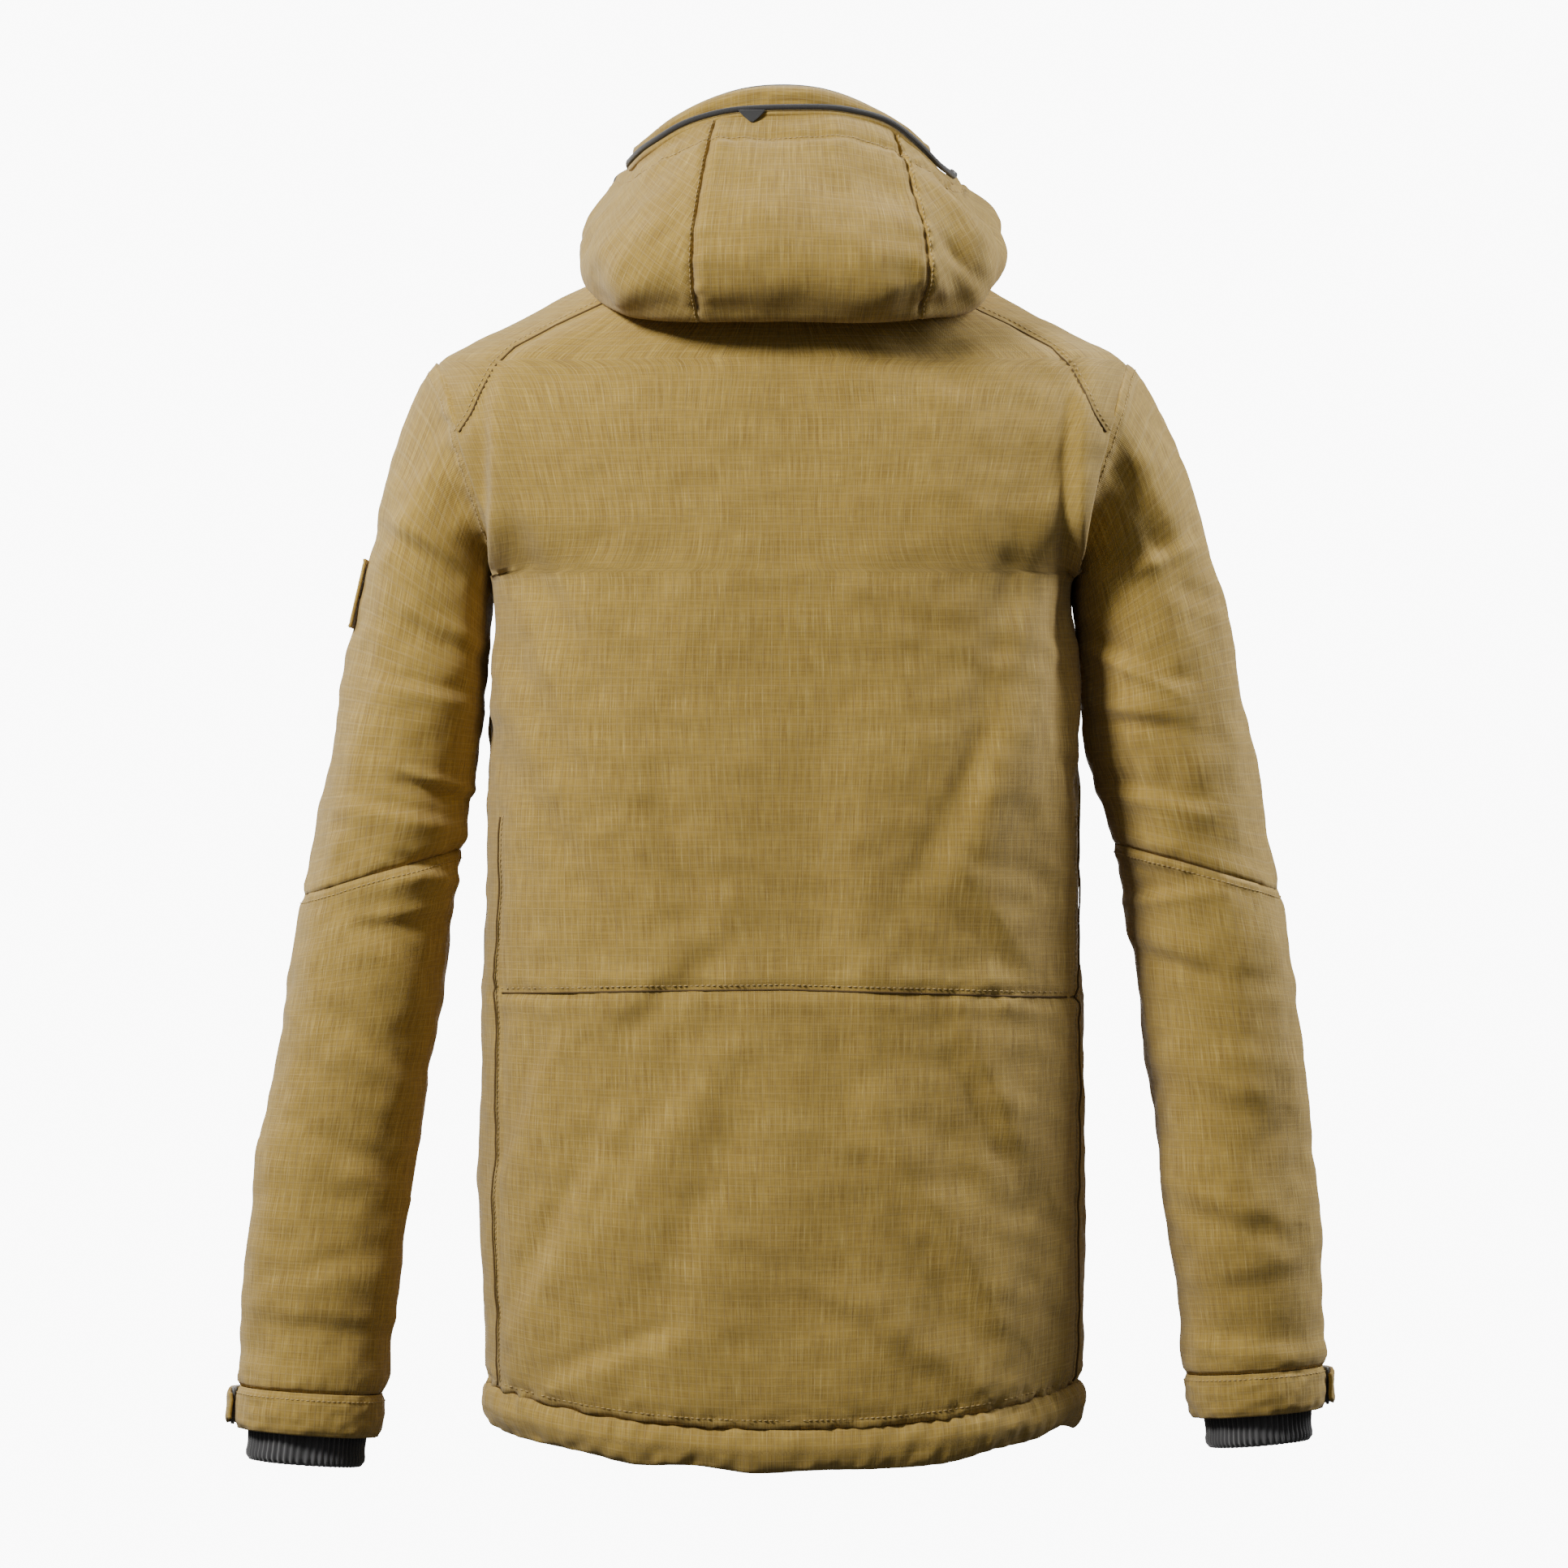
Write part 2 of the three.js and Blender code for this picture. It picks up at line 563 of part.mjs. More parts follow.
function buildHood() {
  const clear = bodySolid(-3, 0);
  const small = 0.0025;
  const add = (name, solid, colour) => addSolid(name, solid.subtract(clear), colour);
  add('hood_hem', hoodPanel(-1, 1, 0, HOOD_HEM, 28, 1), 'shell');
  const top = HOOD_HEM + 4 * small;
  add('hood_side_left', hoodPanel(HOOD_SEAM + small, 1, top, 1, 10, 5), 'shell');
  add('hood_centre_panel', hoodPanel(-HOOD_SEAM, HOOD_SEAM, top, 1, 8, 5), 'shell');
  add('hood_side_right', hoodPanel(-1, -HOOD_SEAM - small, top, 1, 10, 5), 'shell');

  // The underside lies between the hood and the back, from the neck to the hood's bottom.
  const underside = shell((u, v) => {
    const s = 1 - 2 * u;
    const t = 0.45 + 0.55 * v;
    return hoodPoint(s, t, 110 + 14 * v, 86 + 33 * v ** 0.8);
  }, 26, 3, 3, false);
  add('hood_underside', underside, 'lining');

  const route = [];
  for (let i = 0; i <= 26; i += 1) {
    const s = -1 + i / 13;
    const p = hoodOutside(s, 0);
    const inward = point(-p.x, -p.y, 0).normalize().multiplyScalar(HOOD_WALL / 2);
    route.push(p.add(inward).add(point(0, 0, CORD_R + GAP)));
  }
  const section = new THREE.Shape();
  section.absarc(0, 0, CORD_R, 0, 2 * Math.PI, false);
  const ends = [-1, 1].map((sign) => stopperPlace(route[sign < 0 ? 0 : 26], sign));
  const into = (place, rise) => place.clone().add(point(0, 0, rise));
  route.unshift(...[-1.5, 3, 8].map((rise) => into(ends[0], rise)));
  route.push(...[8, 3, -1.5].map((rise) => into(ends[1], rise)));
  const path = new THREE.CatmullRomCurve3(route);
  const cord = new THREE.ExtrudeGeometry(section, { steps: 56, curveSegments: 3, extrudePath: path });
  meshOf('hood_cord', cord, 'cord');
  buildStopper('left', ends[1]);
  buildStopper('right', ends[0]);
  const tab = new THREE.Shape([new THREE.Vector2(-7, 0), new THREE.Vector2(7, 0), new THREE.Vector2(0, 9)]);
  const tabShape = new THREE.ExtrudeGeometry(tab, { depth: 1.4, bevelEnabled: false });
  tabShape.rotateX(Math.PI / 2);
  const mesh = meshOf('hood_rim_tab', tabShape, 'tape');
  mesh.position.set(8, route[15].y + CORD_R + 2, route[15].z + CORD_R);
}

// The mouth of the cord stopper below an end of the rim.
function stopperPlace(end, sign) {
  return end.clone().add(point(sign * 3, -9, -14));
}

// A cord stopper just past each end of the rim cord, with the button that frees it.
function buildStopper(side, place) {
  const barrel = new THREE.LatheGeometry([
    new THREE.Vector2(3.7, 0), new THREE.Vector2(6, 0.5), new THREE.Vector2(6.6, 4),
    new THREE.Vector2(6, 13), new THREE.Vector2(4.6, 13), new THREE.Vector2(4.6, 5),
    new THREE.Vector2(3.7, 4), new THREE.Vector2(3.7, 0),
  ], 10);
  const plunger = new THREE.LatheGeometry([
    new THREE.Vector2(0, 9), new THREE.Vector2(4.1, 9), new THREE.Vector2(4.1, 18),
    new THREE.Vector2(3.4, 19), new THREE.Vector2(0, 19),
  ], 10);
  [['cord_stopper', barrel], ['cord_stopper_button', plunger]].forEach(([name, geometry]) => {
    geometry.rotateX(-Math.PI / 2);
    const mesh = meshOf(`${name}_${side}`, geometry, name === 'cord_stopper' ? 'tooth' : 'cord');
    mesh.position.copy(place);
  });
}

// ---------------------------------------------------------------- zips

// A sliding body, and the pull that hangs from a bail on it.
function zipHardware(prefix, parent, at, scale) {
  const [wide, long, thick] = [11 * scale, SLIDER_LONG * scale, 3.4 * scale];
  const plate = block([-wide / 2, -thick, -long / 2], [wide / 2, 0, long / 2]);
  const bail = block([-2 * scale, -thick - 3.2 * scale, -1.5 * scale], [2 * scale, -thick + 0.1, long * 0.3]);
  const hole = block([-3 * scale, -thick - 1.7 * scale, 0.6 * scale], [3 * scale, -thick - 0.2 * scale, long * 0.2]);
  const slider = addSolid(`${prefix}_slider`, plate.add(bail).subtract(hole), 'metal', parent);
  slider.position.copy(at);
  const pullShape = new THREE.Shape([
    [-4, 1.2], [4, 1.2], [4.4, -PULL_LONG * 0.5], [3.4, -PULL_LONG], [-3.4, -PULL_LONG], [-4.4, -PULL_LONG * 0.5],
  ].map(([x, z]) => new THREE.Vector2(x * scale, z * scale)));
  const pull = new THREE.ExtrudeGeometry(pullShape, { depth: 1.6 * scale, bevelEnabled: false });
  pull.rotateX(Math.PI / 2);
  pull.translate(0, -thick - 3.2 * scale - GAP, -long * 0.05);
  const mesh = meshOf(`${prefix}_pull`, pull, 'tape', parent);
  mesh.position.copy(at);
}

function buildFrontZip() {
  const lean = new THREE.Group();
  lean.position.set(0, frontY(0), 0);
  lean.rotation.x = -Math.atan(ZIP_LEAN);
  coat.add(lean);
  const top = COLLAR_TOP_BACK - COLLAR_DROP - 3;
  const low = HEM_Z + HEM_RISE + 2;
  ['left', 'right'].forEach((side) => {
    const sign = side === 'left' ? 1 : -1;
    const strip = (x0, x1, y0, y1, z0, z1) => block(
      [Math.min(sign * x0, sign * x1), y0, z0],
      [Math.max(sign * x0, sign * x1), y1, z1],
    );
    const tape = strip(ZIP_HALF + GAP, ZIP_TAPE - GAP, 1.2, 1.2 + ZIP_THICK, low, top);
    addSolid(`zip_tape_${side}`, tape, 'tape', lean);
    const teeth = strip(GAP / 2, ZIP_HALF, 0.8, 1.2 + ZIP_THICK, low + 12, top - 4);
    addSolid(`zip_teeth_${side}`, teeth, 'tooth', lean);
  });
  const box = block([-ZIP_HALF, 0.4, low], [ZIP_HALF, 1.2 + ZIP_THICK, low + 12 - GAP]);
  addSolid('zip_box', box, 'tooth', lean);
  const flap = block([-16, WALL + LINING + 3, low + 16], [16, WALL + LINING + 5, top - 80]);
  addSolid('zip_inner_flap', flap, 'lining', lean);
  zipHardware('front_zip', lean, point(0, 0.2, top - 14), 1);
}

// A hand pocket: a slanted welt let into the front panel, with its zip and slider.
function buildPocket(side) {
  const holder = new THREE.Group();
  holder.applyMatrix4(pocketPlace(side));
  coat.add(holder);
  const half = POCKET_LONG / 2;
  const welt = block([-WELT_HALF, 0, -half], [WELT_HALF, WELT_DEEP, half]);
  const slot = block([-4, -1, -half + 10], [4, WELT_DEEP + 1, half - 10]);
  addSolid(`pocket_welt_${side}`, welt.subtract(slot), 'shellDark', holder);
  const teeth = block([-4 + GAP, 0.6, -half + 10 + GAP], [4 - GAP, 2.4, half - 10 - GAP]);
  addSolid(`pocket_zip_${side}`, teeth, 'tooth', holder);
  zipHardware(`pocket_${side}`, holder, point(0, -GAP, half - 20), 0.7);
}

// ---------------------------------------------------------------- hang loop

function buildHangLoop() {
  const strap = block([-26, 0, -5], [26, 2, 5]);
  const raised = block([-22, -7, -3.5], [22, -5.4, 3.5]);
  const ends = [-1, 1].map((sign) => block(
    [Math.min(sign * 20, sign * 22), -7, -3.5],
    [Math.max(sign * 20, sign * 22), 1, 3.5],
  ));
  const mesh = addSolid('hang_loop', strap.add(raised).add(ends[0]).add(ends[1]), 'tape');
  mesh.position.copy(HANG_POINT).add(point(0, 5.4, 0));
}

const HANG_POINT = point(0, COLLAR_BACK - 2 - COLLAR_WALL - LINING - 9, NECK_Z + 14);

buildBody();
buildCollar();
['left', 'right'].forEach(buildSleeve);
buildPatch();
buildHood();
buildFrontZip();
['left', 'right'].forEach(buildPocket);
buildHangLoop();
coat.position.copy(HANG_POINT).negate();
export default coat;
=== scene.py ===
"""A hooded, padded outdoor jacket seen from behind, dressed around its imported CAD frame."""
import math

import bmesh
import bpy
import numpy as np
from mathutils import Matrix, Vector
from mathutils.bvhtree import BVHTree

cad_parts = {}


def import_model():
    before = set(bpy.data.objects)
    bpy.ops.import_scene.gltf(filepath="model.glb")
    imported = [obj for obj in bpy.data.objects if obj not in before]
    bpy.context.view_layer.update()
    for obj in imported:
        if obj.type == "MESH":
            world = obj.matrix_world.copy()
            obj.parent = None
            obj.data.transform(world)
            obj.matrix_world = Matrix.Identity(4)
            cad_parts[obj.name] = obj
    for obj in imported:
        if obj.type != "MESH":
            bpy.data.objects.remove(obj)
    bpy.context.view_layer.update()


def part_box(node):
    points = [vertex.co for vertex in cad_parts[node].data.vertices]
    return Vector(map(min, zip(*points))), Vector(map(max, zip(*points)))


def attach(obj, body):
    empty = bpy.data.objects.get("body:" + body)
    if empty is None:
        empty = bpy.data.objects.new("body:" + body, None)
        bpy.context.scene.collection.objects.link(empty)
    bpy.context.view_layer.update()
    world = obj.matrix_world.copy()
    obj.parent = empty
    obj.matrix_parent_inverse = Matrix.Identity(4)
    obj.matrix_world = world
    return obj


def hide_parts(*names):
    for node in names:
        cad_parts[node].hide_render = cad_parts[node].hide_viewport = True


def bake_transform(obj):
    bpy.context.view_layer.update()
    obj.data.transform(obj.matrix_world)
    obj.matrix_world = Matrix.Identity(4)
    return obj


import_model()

# ---- sizes, in millimetres
# Points are given about the wearer's neck axis, as the jacket is drafted, and moved so that
# the hang loop is the origin.

HANG = np.array([0.0, 50.6, -11.0])
LEVEL = np.array([1, 1, 0])
SEED = 7

NECK_Z, ARMPIT_Z, RIDGE_Z = -25.0, -242.0, -102.0
HEM_Z, HEM_RISE, HEM_HIGH = -826.0, 24.0, 28.0
HEM_SEAM_Z, HEM_REACH = HEM_Z + HEM_HIGH, 200.0
BACK_SEAM_Z = -516.0
COLLAR_TOP, COLLAR_DROP, COLLAR_HALF, COLLAR_BACK = 75.0, 34.0, 98.0, 71.0
ZIP_TOP_Y, ZIP_LEAN, ZIP_TAPE = -86.0, 0.052, 9.0
SHELL_WALL, SLEEVE_WALL, HOOD_WALL = 7.0, 6.0, 3.6
BODY_LINING_WALL, HOOD_LINING_WALL, FACING_WALL = 1.6, 1.4, 1.2

BODY_HALF = [(-25, 96), (-38, 110), (-50, 128), (-70, 163), (-102, 228), (-125, 237), (-160, 245),
             (-205, 238), (-242, 187), (-262, 186), (-340, 191), (-516, 197), (-660, 201), (-800, 199)]
BODY_BACK = [(-25, 72), (-50, 85), (-70, 94), (-102, 107), (-150, 118), (-240, 128), (-400, 130),
             (-650, 130), (-800, 127)]
ARMHOLE = ((229, -103), (188, -240))

# Rings of each sleeve: outer point, inner point (x, z) and half depth.
SLEEVE = {
    "left": [((229, -103), (188, -240), 80), ((243, -131), (189, -247), 79), ((261, -181), (191, -264), 76),
             ((273, -234), (194, -290), 72), ((285, -287), (197, -318), 70), ((296, -340), (199, -350), 68),
             ((306, -393), (204, -388), 65), ((317, -456), (212, -421), 62), ((325, -505), (220, -487), 60),
             ((331, -552), (229, -548), 57), ((340, -612), (240, -612), 54), ((348, -658), (247, -660), 52),
             ((356, -718), (257, -722), 49), ((360, -778), (263, -784), 46)],
    "right": [((229, -103), (188, -240), 80), ((250, -131), (189, -247), 79), ((268, -181), (191, -264), 76),
              ((283, -234), (194, -290), 73), ((296, -287), (197, -318), 71), ((307, -340), (200, -350), 69),
              ((317, -393), (210, -388), 66), ((328, -452), (219, -416), 62), ((335, -500), (227, -487), 60),
              ((343, -552), (237, -548), 57), ((349, -608), (245, -608), 54), ((353, -658), (250, -660), 52),
              ((357, -708), (257, -712), 49), ((358, -765), (265, -771), 46)],
}
ELBOW = 7
CUFF_HIGH, KNIT_SHOWS = 28.0, 20.0

HOOD_HALF = [(0, 106), (0.12, 114), (0.25, 122), (0.5, 135), (0.7, 140), (0.85, 139), (1, 131)]
HOOD_DEEP = [(0, 96), (0.25, 122), (0.5, 142), (0.7, 150), (0.85, 147), (1, 128)]
HOOD_RIM_Z, HOOD_LOW_Z, HOOD_LIFT, HOOD_TURN = 50.0, -84.0, 60.0, 105.0
HOOD_SEAM_LEFT, HOOD_SEAM_RIGHT, HOOD_HEM = 0.17, -0.29, 0.13
# How far the rim sinks on its way from the right end round the back to the left end.
HOOD_RIM_FALL = [(-1, 33), (-0.75, 42), (-0.55, 37), (-0.42, 25), (-0.25, 8), (-0.06, 0), (0.12, 2), (0.3, 10),
                 (0.45, 20), (0.7, 31), (1, 33)]
POCKET_X, POCKET_Z, POCKET_LONG, POCKET_LEAN = 122.0, -560.0, 160.0, 14.0
WELT_HALF, WELT_PROUD, CHEST_HALF = 11.0, 0.6, 201.0
# How square the outlines are: 2 is an ellipse, more is squarer.
COLLAR_SQUARE, SLEEVE_SQUARE, CHEST_SQUARE = 2.2, 2.2, 2.4


def world(points):
    """Drafting millimetres to row-frame metres."""
    return (np.asarray(points, float) - HANG) / 1000.0


# ---- small maths

def smooth_curve(stations, soften=0.35):
    """A smooth function through stations (place, value), places in either order."""
    places = np.array([s[0] for s in stations], float)
    values = np.array([s[1] for s in stations], float)
    if places[0] > places[-1]:
        places, values = places[::-1], values[::-1]
    fine = np.linspace(places[0], places[-1], 400)
    line = np.interp(fine, places, values)
    reach = max(1, int(400 * soften / len(places)))
    kernel = np.hanning(2 * reach + 1)
    kernel /= kernel.sum()
    padded = np.concatenate([2 * line[0] - line[reach:0:-1], line, 2 * line[-1] - line[-2:-reach - 2:-1]])
    soft = np.convolve(padded, kernel, "valid")
    return lambda x: np.interp(x, fine, soft)


def run_along(line):
    """Distance along a line of points, 0 at its first."""
    return np.concatenate([[0], np.cumsum(np.linalg.norm(np.diff(line, axis=0), axis=1))])


def bell(x, width):
    return np.exp(-(x / width) ** 2)


def side_of(n, away):
    """1 or -1, as the normals n mostly point along away or against it."""
    return np.sign((n * away).sum(-1).mean())


def power(value, exponent):
    return np.sign(value) * np.abs(value) ** exponent


def smoothstep(low, high, x):
    t = np.clip((x - low) / (high - low), 0, 1)
    return t * t * (3 - 2 * t)


class Waves:
    """Band-limited noise: a fixed sum of slanted waves, from -1 to 1 or so."""

    def __init__(self, seed, wavelength, spread=0.5, count=24, stretch=(1, 1, 1)):
        rng = np.random.default_rng(seed)
        direction = rng.normal(size=(count, 3)) * np.array(stretch)
        direction /= np.linalg.norm(direction, axis=1)[:, None]
        lengths = wavelength * np.exp(rng.uniform(-spread, spread, count))
        self.k = direction * (2 * math.pi / lengths)[:, None]
        self.phase = rng.uniform(0, 2 * math.pi, count)
        self.scale = 1 / math.sqrt(count / 2)

    def __call__(self, points):
        return np.sin(points @ self.k.T + self.phase).sum(-1) * self.scale


# ---- meshes

def new_object(name, verts, faces, uvs=None):
    mesh = bpy.data.meshes.new(name)
    mesh.from_pydata([tuple(v) for v in verts], [], [tuple(f) for f in faces])
    mesh.update()
    if uvs is not None:
        layer = mesh.uv_layers.new(name="cloth")
        loops = np.zeros(len(mesh.loops), int)
        mesh.loops.foreach_get("vertex_index", loops)
        layer.data.foreach_set("uv", np.asarray(uvs, np.float32)[loops].ravel())
    shade(mesh)
    obj = bpy.data.objects.new(name, mesh)
    bpy.context.scene.collection.objects.link(obj)
    return obj


def grid_faces(columns, rows, round_, offset=0):
    across = columns if round_ else columns + 1
    faces = []
    for j in range(rows):
        for i in range(columns):
            k = (i + 1) % across
            faces.append((offset + j * across + i, offset + j * across + k,
                          offset + (j + 1) * across + k, offset + (j + 1) * across + i))
    return faces


def grid_normals(p, round_):
    """Unit normals of a grid p[rows, columns, 3]."""
    if round_:
        du = np.roll(p, -1, 1) - np.roll(p, 1, 1)
    else:
        du = np.gradient(p, axis=1)
    dv = np.gradient(p, axis=0)
    n = np.cross(du, dv)
    length = np.linalg.norm(n, axis=2, keepdims=True)
    return n / np.maximum(length, 1e-9)


def body_normals(p):
    """Normals of an open grid, away from the neck's upright axis."""
    n = grid_normals(p, False)
    return n * side_of(n, p * LEVEL)


def cloth_uv(p, round_):
    """Flat cloth coordinates in metres: run along the middle row, fall down each column."""
    middle = p[p.shape[0] // 2]
    run = run_along(middle)
    column = p[:, p.shape[1] // 2]
    fall = run_along(column)
    return np.stack(np.meshgrid(run, -fall), -1) / 1000.0


def thick_grid(name, p, wall, round_=False, outward=None):
    """A closed piece of cloth: grid p in drafting mm is its outer face, wall its thickness."""
    n = grid_normals(p, round_)
    if outward is None:
        away = (p - p.mean(1, keepdims=True)) if round_ else p * LEVEL
        outward = side_of(n, away)
    n = n * outward
    rows, columns = p.shape[0] - 1, p.shape[1] - (0 if round_ else 1)
    inner = p - n * wall
    uv = cloth_uv(p, round_)
    verts = np.concatenate([p.reshape(-1, 3), inner.reshape(-1, 3)])
    uvs = np.concatenate([uv.reshape(-1, 2)] * 2)
    count = p.shape[0] * p.shape[1]
    faces = grid_faces(columns, rows, round_)
    faces += [tuple(reversed(f)) for f in grid_faces(columns, rows, round_, count)]
    across = p.shape[1]
    at = lambda i, j: j * across + (i % across)
    for i in range(columns):
        faces.append((at(i + 1, 0), at(i, 0), count + at(i, 0), count + at(i + 1, 0)))
        faces.append((at(i, rows), at(i + 1, rows), count + at(i + 1, rows), count + at(i, rows)))
    if not round_:
        for j in range(rows):
            faces.append((at(0, j), at(0, j + 1), count + at(0, j + 1), count + at(0, j)))
            faces.append((at(columns, j + 1), at(columns, j), count + at(columns, j), count + at(columns, j + 1)))
    return closed_mesh(name, verts, faces, uvs)


def closed_mesh(name, verts, faces, uvs=None):
    """A closed object from drafting points, its faces turned outwards."""
    obj = new_object(name, world(verts), faces, uvs)
    fix_normals(obj)
    return obj


def ring_faces(sides, rings, start=0, caps=True):
    """Faces of a tube of rings of points, with its two ends."""
    faces = grid_faces(sides, rings - 1, True, start)
    if caps:
        last = start + (rings - 1) * sides
        faces += [tuple(reversed(range(start, start + sides))), tuple(range(last, last + sides))]
    return faces


def shade(mesh, smooth=True):
    mesh.polygons.foreach_set("use_smooth", [smooth] * len(mesh.polygons))


def fix_normals(obj):
    bm = bmesh.new()
    bm.from_mesh(obj.data)
    bmesh.ops.remove_doubles(bm, verts=bm.verts, dist=1e-6)
    bmesh.ops.recalc_face_normals(bm, faces=bm.faces)
    bm.to_mesh(obj.data)
    bm.free()
    shade(obj.data)


# ---- materials

def shader(name, colour, rough, metal=0.0, sheen=0.0, coat=0.0):
    mat = bpy.data.materials.new(name)
    mat.use_nodes = True
    bsdf = mat.node_tree.nodes["Principled BSDF"]
    bsdf.inputs["Base Color"].default_value = (*colour, 1)
    bsdf.inputs["Roughness"].default_value = rough
    bsdf.inputs["Metallic"].default_value = metal
    bsdf.inputs["Sheen Weight"].default_value = sheen
    bsdf.inputs["Sheen Roughness"].default_value = 0.6
    bsdf.inputs["Coat Weight"].default_value = coat
    return mat, mat.node_tree, bsdf


def node(tree, kind, **values):
    made = tree.nodes.new(kind)
    for key, value in values.items():
        if key in made.inputs:
            made.inputs[key].default_value = value
        else:
            setattr(made, key, value)
    return made


def mix(tree, factor, a, b, mode="MIX"):
    made = tree.nodes.new("ShaderNodeMix")
    made.data_type = "RGBA"
    made.blend_type = mode
    for socket, value in ((made.inputs[0], factor), (made.inputs[6], a), (made.inputs[7], b)):
        if isinstance(value, bpy.types.NodeSocket):
            tree.links.new(value, socket)
        elif isinstance(value, tuple):
            socket.default_value = (*value, 1)
        else:
            socket.default_value = value
    return made.outputs[2]


def maths(tree, operation, a, b=0.0):
    made = tree.nodes.new("ShaderNodeMath")
    made.operation = operation
    for socket, value in zip(made.inputs, (a, b)):
        if isinstance(value, bpy.types.NodeSocket):
            tree.links.new(value, socket)
        else:
            socket.default_value = value
    return made.outputs[0]


def cloth_space(tree, turn, scale):
    """The cloth's flat coordinates, turned by degrees and scaled along and across."""
    uv = node(tree, "ShaderNodeUVMap", uv_map="cloth")
    spin = node(tree, "ShaderNodeMapping", vector_type="POINT")
    spin.inputs["Rotation"].default_value = (0, 0, math.radians(turn))
    tree.links.new(uv.outputs[0], spin.inputs[0])
    size = node(tree, "ShaderNodeMapping", vector_type="POINT")
    size.inputs["Scale"].default_value = (*scale, 1)
    tree.links.new(spin.outputs[0], size.inputs[0])
    return size.outputs[0]


def noise(tree, vector, scale, detail=2.0, rough=0.5):
    made = node(tree, "ShaderNodeTexNoise", Scale=scale, Detail=detail, Roughness=rough)
    tree.links.new(vector, made.inputs["Vector"])
    return made.outputs["Fac"]


def ramp(tree, value, stops):
    made = tree.nodes.new("ShaderNodeValToRGB")
    made.color_ramp.elements[0].position = stops[0][0]
    made.color_ramp.elements[0].color = (*stops[0][1], 1)
    made.color_ramp.elements[1].position = stops[-1][0]
    made.color_ramp.elements[1].color = (*stops[-1][1], 1)
    for place, colour in stops[1:-1]:
        made.color_ramp.elements.new(place).color = (*colour, 1)
    tree.links.new(value, made.inputs[0])
    return made.outputs[0]


def bumped(mat, tree, bsdf, height, strength, distance):
    bump = node(tree, "ShaderNodeBump", Strength=strength, Distance=distance)
    tree.links.new(height, bump.inputs["Height"])
    tree.links.new(bump.outputs[0], bsdf.inputs["Normal"])
    return mat


def slub_fabric(name, turn=0.0, shade=1.0):
    """Melange canvas: ochre ground, fine pale slub threads both ways, and a faint rip-stop grid."""
    tone = lambda r, g, b: (r * shade, g * shade, b * shade)
    mat, tree, bsdf = shader(name, tone(0.36, 0.235, 0.075), 0.85, sheen=0.18)
    along = noise(tree, cloth_space(tree, turn, (1.0, 0.035)), 1150.0, 3.0, 0.7)
    across = noise(tree, cloth_space(tree, turn, (0.04, 1.0)), 1150.0, 3.0, 0.7)
    broad = noise(tree, cloth_space(tree, turn, (1.0, 0.06)), 330.0, 2.0, 0.6)
    large = noise(tree, cloth_space(tree, 0, (1.0, 1.0)), 11.0, 2.0, 0.5)
    ground = ramp(tree, along, [
        (0.30, tone(0.275, 0.160, 0.020)), (0.47, tone(0.385, 0.245, 0.036)),
        (0.60, tone(0.455, 0.300, 0.053)), (0.76, tone(0.66, 0.495, 0.16))])
    threads = ramp(tree, across, [(0.32, (0.80, 0.77, 0.70)), (0.55, (1.0, 1.0, 1.0)), (0.76, (1.28, 1.30, 1.36))])
    colour = mix(tree, 0.85, ground, threads, "MULTIPLY")
    patches = ramp(tree, broad, [(0.32, (0.90, 0.89, 0.86)), (0.68, (1.08, 1.09, 1.12))])
    colour = mix(tree, 0.8, colour, patches, "MULTIPLY")
    fade = ramp(tree, large, [(0.3, (0.95, 0.94, 0.92)), (0.7, (1.04, 1.04, 1.04))])
    colour = mix(tree, 1.0, colour, fade, "MULTIPLY")
    grid = rip_stop(tree, turn, 0.0050)
    colour = mix(tree, maths(tree, "MULTIPLY", grid, 0.16), colour, tone(0.58, 0.45, 0.22))
    tree.links.new(colour, bsdf.inputs["Base Color"])
    weave = weave_height(tree, turn, 0.0009)
    height = maths(tree, "ADD", maths(tree, "MULTIPLY", weave, 0.5), maths(tree, "MULTIPLY", along, 0.8))
    height = maths(tree, "ADD", height, maths(tree, "MULTIPLY", grid, 0.35))
    return bumped(mat, tree, bsdf, height, 0.5, 0.0004)


def rip_stop(tree, turn, pitch):
    """1 on the thin threads of a square grid, 0 between them."""
    split = tree.nodes.new("ShaderNodeSeparateXYZ")
    tree.links.new(cloth_space(tree, turn, (1 / pitch, 1 / pitch)), split.inputs[0])
    lines = []
    for axis in (0, 1):
        part = maths(tree, "ABSOLUTE", maths(tree, "SUBTRACT", maths(tree, "FRACT", split.outputs[axis]), 0.5))
        lines.append(maths(tree, "LESS_THAN", part, 0.07))
    return maths(tree, "MAXIMUM", lines[0], lines[1])


def weave_height(tree, turn, pitch):
    """Over-and-under threads of a plain weave."""
    split = tree.nodes.new("ShaderNodeSeparateXYZ")
    turn_scale = 2 * math.pi / pitch
    tree.links.new(cloth_space(tree, turn, (turn_scale, turn_scale)), split.inputs[0])
    a = maths(tree, "SINE", split.outputs[0])
    b = maths(tree, "SINE", split.outputs[1])
    return maths(tree, "MULTIPLY", a, b)


def plain_cloth(name, colour, pitch=0.0007, rough=0.75, sheen=0.3, turn=0):
    mat, tree, bsdf = shader(name, colour, rough, sheen=sheen)
    vary = noise(tree, cloth_space(tree, turn, (1, 1)), 60.0, 3.0)
    pale = tuple(min(1, c * 1.35) for c in colour)
    dark = tuple(c * 0.7 for c in colour)
    tree.links.new(ramp(tree, vary, [(0.3, dark), (0.7, pale)]), bsdf.inputs["Base Color"])
    return bumped(mat, tree, bsdf, weave_height(tree, turn, pitch), 0.5, 0.0003)


